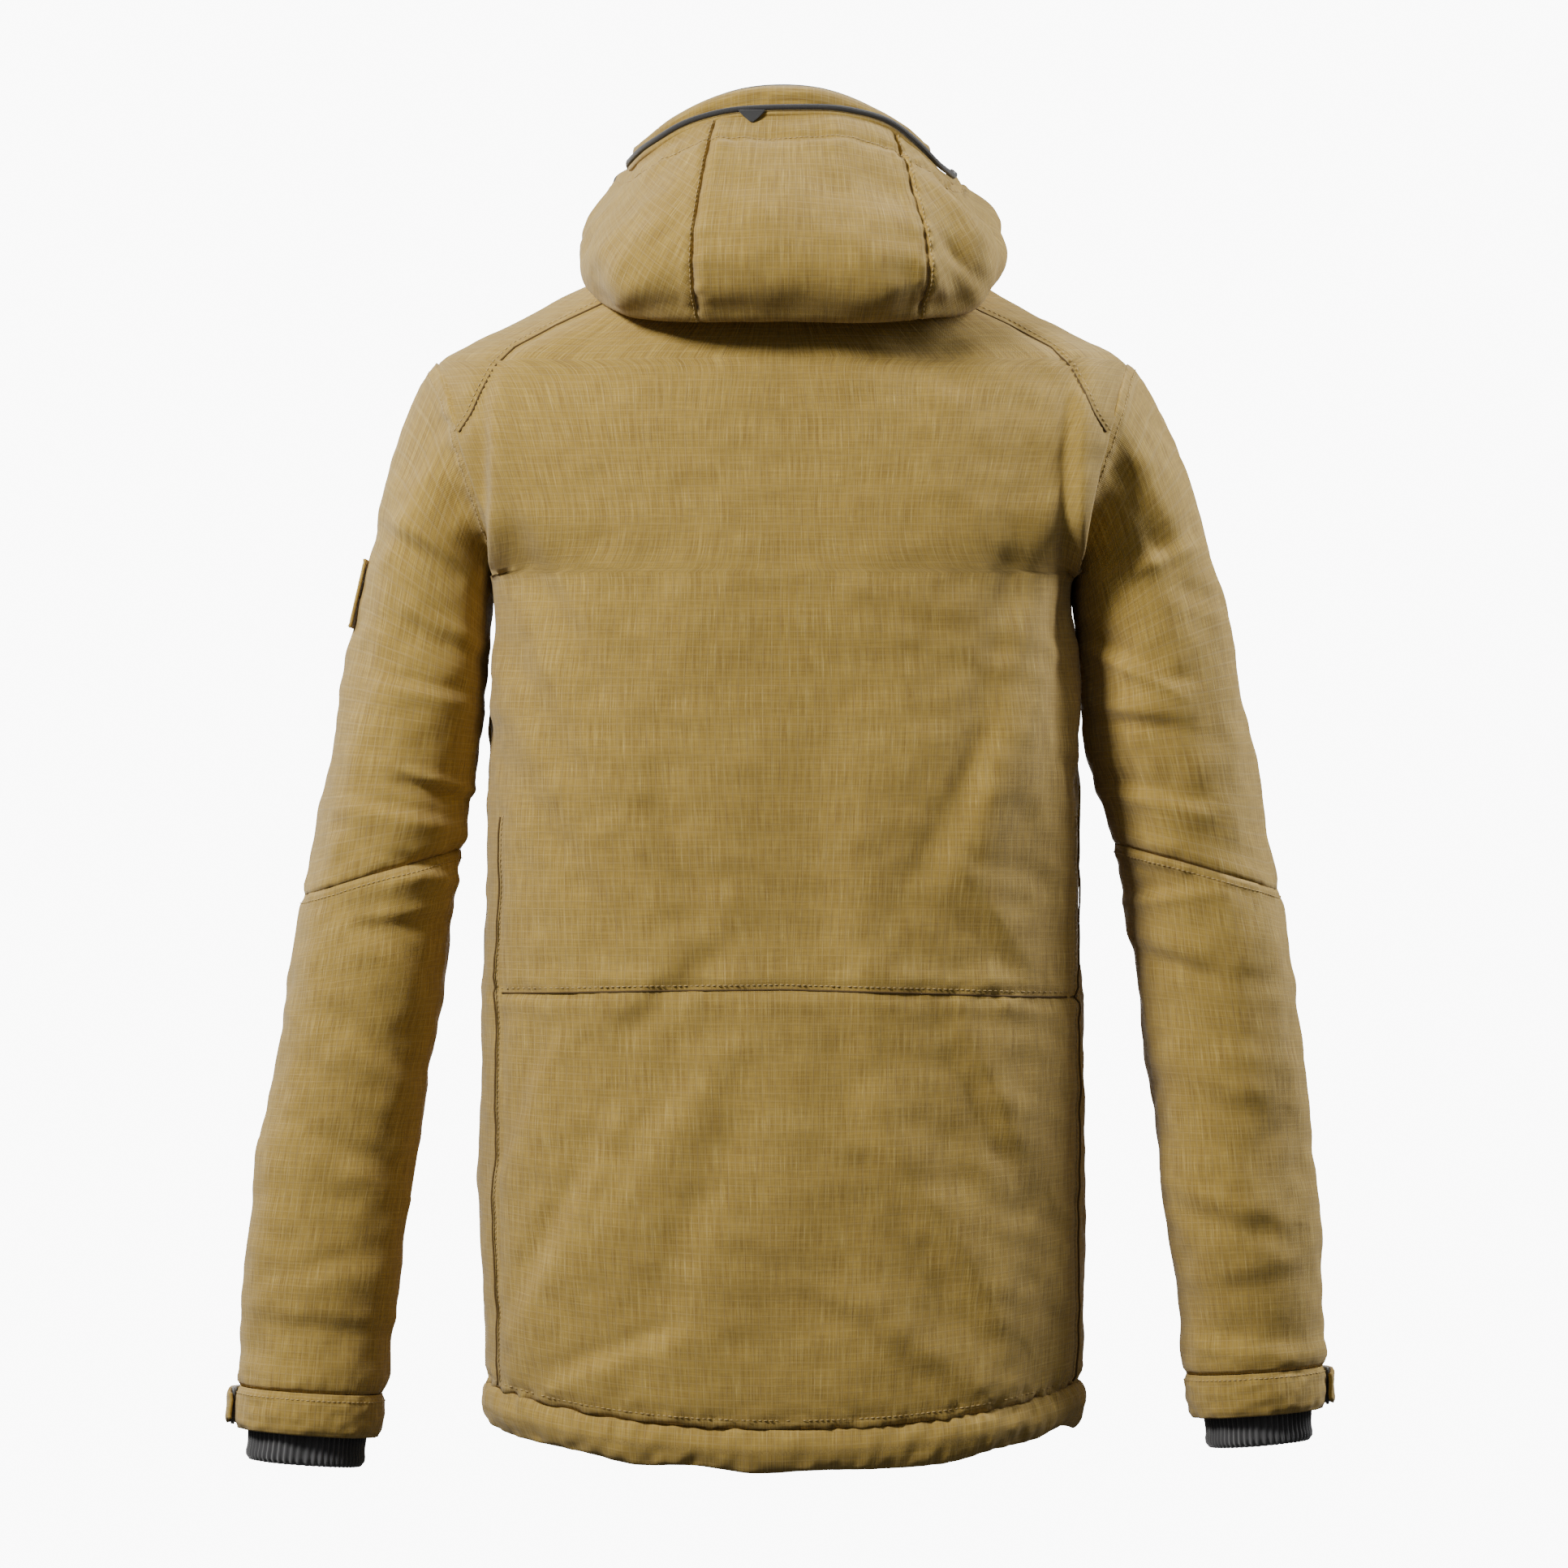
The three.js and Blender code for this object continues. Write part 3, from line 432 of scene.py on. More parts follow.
def object_noise_finish(name, colour, rough, metal=0.0, scale=900.0, depth=0.00005, coat=0.0):
    """Moulded or coated parts: a fine grain in the surface and a little change of gloss."""
    mat, tree, bsdf = shader(name, colour, rough, metal, coat=coat)
    place = node(tree, "ShaderNodeTexCoord")
    grain = noise(tree, place.outputs["Object"], scale, 2.0)
    pale = tuple(min(1, c * 1.5 + 0.004) for c in colour)
    tree.links.new(ramp(tree, grain, [(0.35, colour), (0.75, pale)]), bsdf.inputs["Base Color"])
    gloss = ramp(tree, grain, [(0.3, (rough * 0.8,) * 3), (0.7, (min(1, rough * 1.2),) * 3)])
    tree.links.new(gloss, bsdf.inputs["Roughness"])
    return bumped(mat, tree, bsdf, grain, 0.4, depth)


def fuzzy(name, colour):
    mat, tree, bsdf = shader(name, colour, 0.95, sheen=0.8)
    place = node(tree, "ShaderNodeTexCoord")
    pile = noise(tree, place.outputs["Object"], 2600.0, 3.0, 0.8)
    tree.links.new(ramp(tree, pile, [(0.3, colour), (0.7, tuple(c * 3 for c in colour))]), bsdf.inputs["Base Color"])
    return bumped(mat, tree, bsdf, pile, 0.9, 0.0006)


MAT = {
    "body": slub_fabric("shell_upright", 0),
    "across": slub_fabric("shell_across", 90),
    "slant_left": slub_fabric("shell_slant_left", 32),
    "slant_right": slub_fabric("shell_slant_right", -32),
    "trim": slub_fabric("shell_trim", 0, 0.92),
    "lining": plain_cloth("lining_cloth", (0.035, 0.034, 0.032), 0.0006, 0.6),
    "knit": plain_cloth("rib_knit", (0.042, 0.042, 0.044), 0.0016, 0.95, 0.5),
    "tape": plain_cloth("zip_tape_cloth", (0.018, 0.018, 0.018), 0.0008, 0.8),
    "cord": plain_cloth("cord_braid", (0.010, 0.010, 0.011), 0.0011, 0.7, 0.3, 45),
    "thread": object_noise_finish("sewing_thread", (0.40, 0.29, 0.12), 0.7, scale=3000.0),
    # painted seam shadow: dark brown for the thin strips laid in the seam grooves, standing in for the shade there
    "seam_shade": object_noise_finish("painted_seam_shadow", (0.085, 0.050, 0.012), 0.9, scale=2500.0),
    "plastic": object_noise_finish("moulded_plastic", (0.018, 0.017, 0.016), 0.42),
    "metal": object_noise_finish("coated_metal", (0.06, 0.055, 0.05), 0.34, 0.85, 1400.0, 0.00003),
    "rubber": object_noise_finish("soft_pull", (0.022, 0.021, 0.02), 0.62, 0, 1200.0),
    "hook": fuzzy("hook_and_loop", (0.02, 0.02, 0.02)),
}


def dress(obj, material, body=None, replaces=()):
    obj.data.materials.clear()
    obj.data.materials.append(MAT[material])
    if body:
        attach(obj, body)
    if replaces:
        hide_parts(*replaces)
    return obj


# ---- body surface

half_width = smooth_curve(BODY_HALF, 0.25)
back_depth = smooth_curve(BODY_BACK, 0.5)
BACK_SQUARE = smooth_curve([(-25, 2.2), (-90, 2.3), (-150, 3.0), (-330, 3.2), (-500, 2.8), (-800, 2.5)])
FRONT_SQUARE = smooth_curve([(-25, 2.2), (-200, 2.5), (-800, 2.4)])


def front_y(z):
    return ZIP_TOP_Y - (COLLAR_TOP - z) * ZIP_LEAN


def armhole_x(z):
    (x1, z1), (x0, z0) = ARMHOLE
    return x0 + (z - z0) * (x1 - x0) / (z1 - z0)


def side_limit(z):
    """Half the width that the body panels reach at a level: its side, or the armhole."""
    a = half_width(z)
    return np.where((z < RIDGE_Z) & (z > ARMPIT_Z), np.minimum(a, armhole_x(z)), a)


def hem_rise(x, y):
    """The hem is lowest at the centre back and level at the sides and front."""
    across = np.clip(np.abs(x) / HEM_REACH, 0, 1)
    return np.where(y > 0, HEM_RISE * across ** 2.2, HEM_RISE)


def body_rows(step):
    return np.arange(NECK_Z, HEM_SEAM_Z - step / 2, -step)


def body_arc(z, share, back, inset=0.0):
    """Points of one level: share -1..1 across the back, or 0..1 from the zip to the side."""
    a = half_width(z) - inset
    limit = np.minimum(side_limit(z) - inset * 0.6, a)
    square = BACK_SQUARE(z) if back else FRONT_SQUARE(z)
    reach = np.arcsin((limit / a) ** (square / 2))
    if back:
        angle = share * reach
        depth = back_depth(z) - inset
    else:
        start = np.arcsin(((ZIP_TAPE - 1.5) / a) ** (square / 2))
        angle = start + share * (reach - start)
        depth = -front_y(z) - inset
    x = a * power(np.sin(angle), 2 / square)
    y = depth * np.abs(np.cos(angle)) ** (2 / square)
    return x, (y if back else -y)


def body_sheet(share, step, back, inset=0.0):
    """Grid [rows, columns, 3] of the back, or of the wearer's left front."""
    rows = []
    for z in body_rows(step):
        x, y = body_arc(z, share, back, inset)
        drop = np.clip((BACK_SEAM_Z - z) / (BACK_SEAM_Z - HEM_SEAM_Z), 0, 1)
        slope = inset * 0.8 * smoothstep(-150, -60, z)
        rows.append(np.stack([x, y, z + drop * hem_rise(x, y) - slope], -1))
    return np.array(rows)


# Soft folds of the back and fronts, each from (x, z) to (x, z) with height and half width.
BACK_FOLDS = [
    ((186, -135), (190, -330), 5.0, 9), ((-196, -130), (-188, -360), 5.0, 9),
    ((182, -170), (95, -330), 3.2, 16), ((178, -250), (90, -420), 3.0, 18), ((176, -330), (80, -490), 2.4, 18),
    ((-176, -200), (-130, -420), 2.8, 16), ((-180, -300), (-95, -470), 2.4, 18),
    ((60, -360), (20, -520), 1.8, 22), ((-40, -380), (-60, -560), 1.6, 20),
    ((120, -540), (40, -470), 2.0, 14), ((-110, -430), (-165, -500), 2.2, 13),
    ((100, -600), (172, -745), 3.6, 15), ((40, -560), (130, -700), 2.4, 20), ((10, -600), (70, -760), 2.2, 22),
    ((-120, -540), (-170, -640), 2.2, 14), ((-60, -600), (-150, -735), 2.8, 17), ((-20, -700), (-120, -770), 2.2, 14),
    ((0, -560), (-10, -700), 1.8, 26), ((150, -560), (182, -650), 2.4, 12), ((60, -740), (150, -775), 2.0, 11),
]
FRONT_FOLDS = [
    ((60, -120), (150, -260), 3.0, 16), ((40, -200), (150, -330), 2.6, 18), ((90, -330), (170, -250), 2.6, 14),
    ((30, -420), (120, -380), 2.0, 16), ((60, -600), (170, -700), 2.8, 16), ((30, -680), (120, -760), 2.4, 15),
    ((-60, -120), (-150, -250), 3.0, 16), ((-40, -210), (-150, -340), 2.4, 18), ((-80, -350), (-170, -270), 2.6, 14),
    ((-50, -450), (-130, -400), 2.0, 16), ((-50, -610), (-165, -720), 2.8, 16), ((-30, -700), (-130, -765), 2.2, 15),
]
BROAD = Waves(SEED, 210.0, 0.4, 18, (1, 1, 0.6))
MEDIUM = Waves(SEED + 1, 75.0, 0.5, 26, (1, 1, 0.8))
FINE = Waves(SEED + 2, 26.0, 0.5, 30)
PUCKER = Waves(SEED + 3, 11.0, 0.4, 24)


def line_distance(x, z, start, end):
    """Distance from points to a segment, and the share along it."""
    d = np.array(end, float) - np.array(start, float)
    t = np.clip(((x - start[0]) * d[0] + (z - start[1]) * d[1]) / (d @ d), 0, 1)
    return np.hypot(x - start[0] - t * d[0], z - start[1] - t * d[1]), t


def fold_height(x, z, folds):
    """Sum of the folds: a ridge with a steep side and a soft one, fading at both ends."""
    total = np.zeros_like(x)
    for start, end, height, width in folds:
        distance, t = line_distance(x, z, start, end)
        run = np.array(end, float) - np.array(start, float)
        aside = ((x - start[0]) * -run[1] + (z - start[1]) * run[0]) / np.hypot(*run)
        fade = np.sin(np.pi * (0.12 + 0.76 * t)) ** 0.8
        steep = np.where(aside > 0, 0.55, 1.35) * width
        valley = bell(aside - 1.15 * width, 0.5 * width) * bell(distance - np.abs(aside), width)
        total += height * fade * (bell(distance, steep) - 0.5 * valley)
    return total


def polyline_distance(x, z, points):
    best = np.full(np.shape(x), 1e9)
    for start, end in zip(points[:-1], points[1:]):
        best = np.minimum(best, line_distance(x, z, start, end)[0])
    return best


# Seams seen from behind, as (x, z). The wearer's left is +x.
SHOULDER_SEAM = [(104, -60), (113, -65), (149, -82), (175, -96), (188, -109), (197, -126), (203, -140), (211, -152)]
BACK_SEAM = [(-193, -521), (-90, -517), (0, -514.5), (90, -515.5), (183, -518)]
SIDE_STITCH_LEFT = [(184, -400), (184, -518), (186, -640), (187, -775)]
SIDE_STITCH_RIGHT = [(-192, -400), (-193, -521), (-194, -640), (-194, -775)]
FRONT_SHOULDER_SEAM = [(96, -62), (140, -84), (190, -118), (212, -150)]


def seam_relief(x, z, seams, depth=1.6, width=2.0, lift=0.7):
    """A stitched seam: a groove with the padding swelling on both sides."""
    total = np.zeros_like(x)
    for seam in seams:
        d = polyline_distance(x, z, seam)
        total += -depth * bell(d, width) + lift * bell(d - 4.5 * width, 2.6 * width)
    return total


def mirrored(seam):
    return [(-x, z) for x, z in seam]


def shape_body(p, back):
    """Folds, padding and seams on a grid of the body."""
    n = body_normals(p)
    x, y, z = p[..., 0], p[..., 1], p[..., 2]
    edge = smoothstep(0, 22, z - HEM_SEAM_Z) * smoothstep(0, 20, NECK_Z - z + 4)
    calm = 0.45 if back else 1.0
    height = calm * (2.6 * BROAD(p) + 1.5 * MEDIUM(p)) + 0.32 * FINE(p)
    folds = BACK_FOLDS if back else FRONT_FOLDS
    height = height + BODY_CREASE * fold_height(x, z, folds) * smoothstep(0, 40, np.abs(y))
    height = height * (0.25 + 0.75 * edge)
    if not back:
        height = height * smoothstep(9, 45, np.abs(x)) - 0.5
    if back:
        seams = [SHOULDER_SEAM, mirrored(SHOULDER_SEAM), BACK_SEAM]
        height += seam_relief(x, z, seams)
        height += seam_relief(x, z, [SIDE_STITCH_LEFT, SIDE_STITCH_RIGHT], 0.9, 1.8, 0.4)
        near = polyline_distance(x, z, BACK_SEAM)
    else:
        height += seam_relief(x, z, [FRONT_SHOULDER_SEAM, mirrored(FRONT_SHOULDER_SEAM)])
        near = np.full_like(x, 99.0)
    height += 0.5 * PUCKER(p) * bell(near, 10.0)
    hem_near = np.abs(z - HEM_SEAM_Z - hem_rise(x, y))
    height += 0.9 * PUCKER(p) * bell(hem_near, 12.0) - 2.5 * bell(hem_near, 7.0)
    return p + n * height[..., None]


def build_body():
    step = 3.6
    count = 150
    share = np.linspace(1, -1, count)
    back = shape_body(body_sheet(share, step, True), True)
    obj = thick_grid("back_shell", back, SHELL_WALL)
    dress(obj, "body", "body",
          ["back_panel_upper", "back_panel_lower", "shoulder_yoke_left", "shoulder_yoke_right"])
    pieces = {"back": obj, "back_grid": back}
    share = np.linspace(0, 1, count // 2)
    for side, sign in SIGN.items():
        sheet = body_sheet(share, step, False)
        sheet[..., 0] *= sign
        sheet = recess_pocket(shape_body(sheet, False), side)
        obj = thick_grid(f"front_shell_{side}", sheet, SHELL_WALL)
        dress(obj, "body", "body", [f"front_panel_{side}", f"side_panel_{side}"])
        pieces[f"front_{side}"] = obj
    build_lining()
    build_hem()
    return pieces


def recess_pocket(p, side):
    """The front lies flat against each pocket's zip and lips, and blends back into the cloth round them."""
    base, across, inward, up = pocket_axes(side)
    q = p - base
    x, y, z = q @ across, q @ inward, q @ up
    beside = np.maximum(np.abs(x) - WELT_HALF, 0) / 26.0
    beyond = np.maximum(np.abs(z) - POCKET_LONG / 2, 0) / 30.0
    near = smoothstep(1.0, 0.0, np.hypot(beside, beyond))
    edge = smoothstep(1.15, 0.9, np.maximum(np.abs(x) / WELT_HALF, np.abs(z) / (POCKET_LONG / 2)))
    wanted = 0.4 + 2.6 * edge
    return p + inward * ((wanted - y) * near)[..., None]


def build_lining():
    share = np.linspace(1, -1, 60)
    back = body_sheet(share, 9.0, True, 10.0)
    front = body_sheet(np.linspace(0, 1, 32), 9.0, False, 10.0)
    for name, sheet in (("back", back), ("left", front), ("right", front * np.array([-1, 1, 1]))):
        n = body_normals(sheet)
        quilt = 1.2 * np.abs(np.sin(sheet[..., 2] / 55 * np.pi)) + 0.8 * MEDIUM(sheet)
        shaped = sheet - n * quilt[..., None]
        shaped = shaped[4:-1]
        obj = thick_grid(f"lining_{name}", shaped, BODY_LINING_WALL)
        dress(obj, "lining", "body", ["body_lining"] if name == "back" else [])


def hem_profile(v):
    """Outward swell and drop of the padded hem band round its section, v from 0 to 1."""
    angle = 2 * math.pi * v
    return 5.6 * math.cos(angle), HEM_HIGH / 2 * math.sin(angle)


def build_hem():
    """A closed padded tube that follows the hem, open at the zip."""
    z, half_high = HEM_SEAM_Z, HEM_HIGH / 2
    back_x, back_y = body_arc(z, np.linspace(1, -1, 260), True)
    front_x, front_y_ = body_arc(z, np.linspace(0, 1, 130), False)
    x = np.concatenate([front_x[:-1], back_x, -front_x[::-1][1:]])
    y = np.concatenate([front_y_[:-1], back_y, front_y_[::-1][1:]])
    line = np.stack([x, y], -1)
    along = np.gradient(line, axis=0)
    normal = np.stack([along[:, 1], -along[:, 0]], -1)
    normal /= np.linalg.norm(normal, axis=1)[:, None]
    normal *= np.sign((normal * line).sum(-1))[:, None]
    rows = []
    for v in np.linspace(0, 1, 29)[:-1]:
        out, up = hem_profile(v)
        square = abs(math.sin(2 * math.pi * v)) ** 3
        lower = np.clip(-up / half_high, 0, 1)
        shift = out * (1 - 0.2 * square) - 5.5 - 2.5 * lower
        points = np.stack([x + normal[:, 0] * shift, y + normal[:, 1] * shift,
                           z + hem_rise(x, y) - half_high - 0.5 + up], -1)
        pucker = 0.75 * PUCKER(points * np.array([1, 1, 0.5])) * (0.35 + 0.65 * abs(up) / half_high)
        swell = 0.8 * MEDIUM(points) + pucker
        points[:, :2] += normal * swell[:, None]
        points[:, 2] += 1.2 * MEDIUM(points + 50) * lower
        rows.append(points)
    grid = np.array(rows)
    count, ring = grid.shape[1], grid.shape[0]
    verts = grid.reshape(-1, 3)
    faces = []
    for j in range(ring):
        k = (j + 1) % ring
        for i in range(count - 1):
            faces.append((j * count + i, j * count + i + 1, k * count + i + 1, k * count + i))
    faces.append(tuple(j * count for j in range(ring)))
    faces.append(tuple(j * count + count - 1 for j in reversed(range(ring))))
    run = run_along(line) / 1000
    uvs = np.stack([np.tile(run, ring), np.repeat(np.arange(ring) * 0.0028, count)], -1)
    obj = closed_mesh("hem_band_padded", verts, faces, uvs)
    dress(obj, "body", "body", ["hem_band"])


# ---- collar

def collar_sheet(inset, rows, columns):
    """The stand collar, from one side of the zip round the back to the other."""
    a = COLLAR_HALF - inset
    start = math.asin(((ZIP_TAPE - 1.5) / a) ** (COLLAR_SQUARE / 2))
    angle = np.linspace(start, 2 * math.pi - start, columns)
    grid = []
    for v in np.linspace(0, 1, rows):
        top = COLLAR_TOP - COLLAR_DROP * (1 - np.clip(-np.cos(angle), 0, 1) ** 2.2)
        z = NECK_Z + (top - NECK_Z) * v
        half = a - 2 + 2 * v
        depth = np.where(np.cos(angle) > 0, -front_y(z) - inset, COLLAR_BACK - inset)
        grid.append(np.stack([half * power(np.sin(angle), 2 / COLLAR_SQUARE),
                              -depth * power(np.cos(angle), 2 / COLLAR_SQUARE), z], -1))
    return np.array(grid)


def build_collar():
    rows, columns = 34, 220
    for name, inset, sign, material, slot in (
            ("collar_outer", 0.0, 1, "across", "shell_fabric"),
            ("collar_inner", 7.4, 0, "lining", "lining")):
        p = collar_sheet(inset, rows, columns)
        n = body_normals(p)
        v = np.linspace(0, 1, rows)[:, None]
        height = 0.9 * MEDIUM(p) + 0.35 * FINE(p)
        if sign:
            height = height + 1.2 * np.sin(np.pi * v) - 1.3 * bell(v - 0.88, 0.025)
            height = height - 3.2 * smoothstep(0.95, 1.0, v) ** 2 + 0.4 * PUCKER(p) * bell(v - 0.9, 0.06)
        else:
            height = height * 0.6 + 2.4 * smoothstep(0.95, 1.0, v) ** 2
        p = p + n * height[..., None]
        obj = thick_grid(name, p, 6.8 if sign else 2.0)
        dress(obj, material, "body", ["collar"] if sign else ["collar_lining"])


# ---- sleeves

def sleeve_curves(side):
    rings = SLEEVE[side]
    places = range(len(rings))
    names = ("ox", "oz", "ix", "iz", "d")
    values = [(r[0][0], r[0][1], r[1][0], r[1][1], r[2]) for r in rings]
    return {n: smooth_curve([(k, v[c]) for k, v in zip(places, values)], 0.8) for c, n in enumerate(names)}


SLEEVE_CURVE = {side: sleeve_curves(side) for side in SLEEVE}
SIGN = {"left": 1, "right": -1}
SLEEVE_CREASE, BODY_CREASE, SLEEVE_DIP = 1.25, 1.3, 0.16
BLEND_REACH, CUFF_MIDDLE = 75.0, 312


def sleeve_point(side, place, turn, inset):
    """A point of a sleeve: place along its rings, turn round it from the outer side to the back."""
    curve = SLEEVE_CURVE[side]
    last = len(SLEEVE[side]) - 1
    inside = np.minimum(place, last)
    over = place - inside
    value = {k: f(inside) + over * (f(last) - f(last - 0.5)) * 2 for k, f in curve.items()}
    span = np.hypot(value["ox"] - value["ix"], value["oz"] - value["iz"])
    angle = 2 * math.pi * turn
    cos = power(np.cos(angle), 2 / SLEEVE_SQUARE) * (1 - 2 * inset / span) / 2
    depth = value["d"] - inset
    flat = 1 - SLEEVE_DIP * (place / 1.3) * np.exp(1 - place / 1.3) * (np.sin(angle) > 0)
    x = (value["ox"] + value["ix"]) / 2 + (value["ox"] - value["ix"]) * cos
    z = (value["oz"] + value["iz"]) / 2 + (value["oz"] - value["iz"]) * cos
    y = power(np.sin(angle), 2 / SLEEVE_SQUARE) * depth * flat
    return np.stack([SIGN[side] * x, y, z + 0 * x], -1)


def past_end(side, length):
    curve = SLEEVE_CURVE[side]
    last = len(SLEEVE[side]) - 1
    step = math.hypot(curve["ox"](last) - curve["ox"](last - 0.5), curve["oz"](last) - curve["oz"](last - 0.5)) * 2
    return last + length / step


# Creases of the sleeves seen from behind, as (x, z) to (x, z) with height and half width.
SLEEVE_FOLDS = {
    "left": [
        ((205, -250), (262, -215), -2.6, 9), ((200, -300), (255, -272), -2.2, 9),
        ((208, -330), (262, -318), 2.4, 8), ((206, -392), (248, -380), -3.6, 6),
        ((214, -412), (280, -398), 2.6, 8), ((216, -446), (262, -436), 3.2, 8),
        ((222, -470), (275, -476), -2.2, 7), ((228, -520), (300, -470), 1.8, 12),
        ((236, -590), (310, -540), 1.6, 14), ((255, -650), (330, -620), 1.8, 14),
        ((262, -700), (340, -720), 1.6, 13), ((262, -745), (345, -735), -1.6, 10),
        ((220, -160), (270, -260), 2.0, 14),
    ],
    "right": [
        ((-205, -240), (-262, -220), -2.8, 9), ((-200, -285), (-258, -312), -3.4, 8),
        ((-206, -330), (-262, -336), 2.6, 9), ((-212, -378), (-275, -392), -2.2, 8),
        ((-218, -424), (-262, -432), 3.0, 8), ((-222, -452), (-280, -446), -2.6, 7),
        ((-228, -480), (-290, -500), 2.0, 10), ((-240, -560), (-320, -590), 1.6, 14),
        ((-255, -640), (-330, -668), 1.8, 14), ((-262, -705), (-340, -690), 1.4, 12),
        ((-264, -740), (-345, -748), -1.6, 10), ((-222, -150), (-280, -250), 2.2, 14),
    ],
}


def sleeve_sheet(side, start, end, rows, columns, inset=0.0):
    turns = np.linspace(0, 1, columns + 1)[:-1] * SIGN[side]
    return np.array([sleeve_point(side, place, turns, inset) for place in np.linspace(start, end, rows)])


def outward_normals(p):
    n = grid_normals(p, True)
    return n * side_of(n, p - p.mean(1, keepdims=True))


def shape_sleeve(p, side, ends, waves=1.0):
    """Creases, padding and the pulled-in edges at its seams; ends are pull depths at both rims."""
    n = outward_normals(p)
    x, z, y = p[..., 0], p[..., 2], p[..., 1]
    height = waves * (1.3 * BROAD(p * 1.6) + 0.9 * MEDIUM(p) + 0.35 * FINE(p))
    facing = 0.45 + 0.55 * smoothstep(-30, 20, y)
    height = height + SLEEVE_CREASE * fold_height(x, z, SLEEVE_FOLDS[side]) * facing
    rows = p.shape[0]
    run = run_along(p.mean(1))[:, None]
    for depth, distance in ((ends[0], run), (ends[1], run[-1] - run)):
        height = height * (1 - 0.7 * bell(distance, 6.0))
        height = height - depth * bell(distance, 2.6) + 0.35 * depth * bell(distance - 11, 7)
        height = height + 0.35 * PUCKER(p) * bell(distance, 12.0)
    return p + n * height[..., None]


def solid_tube(name, p, wall, material, replaces=()):
    obj = thick_grid(name, p, wall, True)
    return dress(obj, material, None, replaces)


def armhole_normal(side):
    (x1, z1), (x0, z0) = ARMHOLE
    run = np.array([z1 - z0, 0, -(x1 - x0)], float)
    run /= np.linalg.norm(run)
    return run * np.array([SIGN[side], 1, 1])


def inside_armhole(rim, side):
    """Where the seam allowance of an armhole meets the body's inner face, for each point of the sleeve's rim."""
    z = rim[:, 2]
    x = armhole_x(z) - 10.0
    reach = []
    for k, y in enumerate(rim[:, 1]):
        square, depth = (BACK_SQUARE(z[k]), back_depth(z[k])) if y > 0 else (FRONT_SQUARE(z[k]), -front_y(z[k]))
        share = min(1.0, x[k] / half_width(z[k]))
        edge = depth * (1 - share ** square) ** (1 / square) - SHELL_WALL - 0.6
        reach.append(np.clip(1.6 * y, -max(edge, 2.0), max(edge, 2.0)))
    return np.stack([SIGN[side] * x, np.array(reach), z], -1)


def blend_over(obj):
    """Bakes the piece's transform into its mesh."""
    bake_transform(obj)


def build_sleeve(side):
    columns = 150
    upper_rows, lower_rows = ((118, 118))
    arm, fore, body = f"upper_arm_{side}", f"forearm_{side}", "body"
    upper = shape_sleeve(sleeve_sheet(side, 0.0, ELBOW, upper_rows, columns), side, (1.4, 1.1))
    obj = solid_tube(f"sleeve_upper_{side}", upper, SLEEVE_WALL, "body",
                     [f"upper_sleeve_{side}"])
    middle = np.array([SIGN[side] * (ARMHOLE[0][0] + ARMHOLE[1][0]) / 2, 0, (ARMHOLE[0][1] + ARMHOLE[1][1]) / 2])
    start = middle + armhole_normal(side) * 2
    shoulder = (body, arm, tuple(world(start)), tuple(world(start + armhole_normal(side) * BLEND_REACH)))
    blend_over(obj)

    rim = sleeve_sheet(side, 0.0, 0.0, 1, columns // 2, 1.0)[0]
    inside = inside_armhole(rim, side)
    rings = [inside, inside * 0.6 + rim * 0.4, inside * 0.25 + rim * 0.75]
    tuck = np.concatenate([rings, sleeve_sheet(side, 0.04, 0.12, 2, columns // 2, 4.0),
                           sleeve_sheet(side, 0.2, 0.6, 8, columns // 2, SLEEVE_WALL + 1.8)])
    obj = solid_tube(f"armhole_facing_{side}", tuck, FACING_WALL, "body")
    blend_over(obj)

    lower = shape_sleeve(sleeve_sheet(side, ELBOW + 0.004, past_end(side, 0), lower_rows, columns), side, (1.1, 2.0))
    obj = solid_tube(f"sleeve_lower_{side}", lower, SLEEVE_WALL, "body",
                     [f"lower_sleeve_{side}"])
    at = sleeve_sheet(side, ELBOW, ELBOW, 1, 4)[0].mean(0)
    (ox, oz), (ix, iz), _ = SLEEVE[side][ELBOW]
    down = np.array([SIGN[side] * (oz - iz), 0, -(ox - ix)], float)
    down /= np.linalg.norm(down)
    elbow = (arm, fore, tuple(world(at + down * 3)), tuple(world(at + down * BLEND_REACH)))
    blend_over(obj)

    inside = sleeve_sheet(side, ELBOW - 0.45, ELBOW + 0.45, 16, columns // 2, SLEEVE_WALL + 1.6)
    obj = solid_tube(f"elbow_facing_{side}", inside, FACING_WALL, "body")
    blend_over(obj)
    sew_ring(f"stitch_elbow_{side}", lower, 4.5, blend=elbow)
    sew_ring(f"stitch_armhole_{side}", upper, 4.5, blend=shoulder)
    cuff = sleeve_sheet(side, past_end(side, 0.4), past_end(side, CUFF_HIGH), 26, columns, 0.0)
    cuff = shape_sleeve(cuff, side, (1.6, 1.9), 0.35)
    obj = solid_tube(f"cuff_{side}", cuff, 6.0, "body", [f"cuff_band_{side}"])
    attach(obj, fore)
    sew_ring(f"stitch_cuff_{side}", cuff, 4.0, body=fore)
    build_wristlet(side, fore)
    build_tab(side, fore)


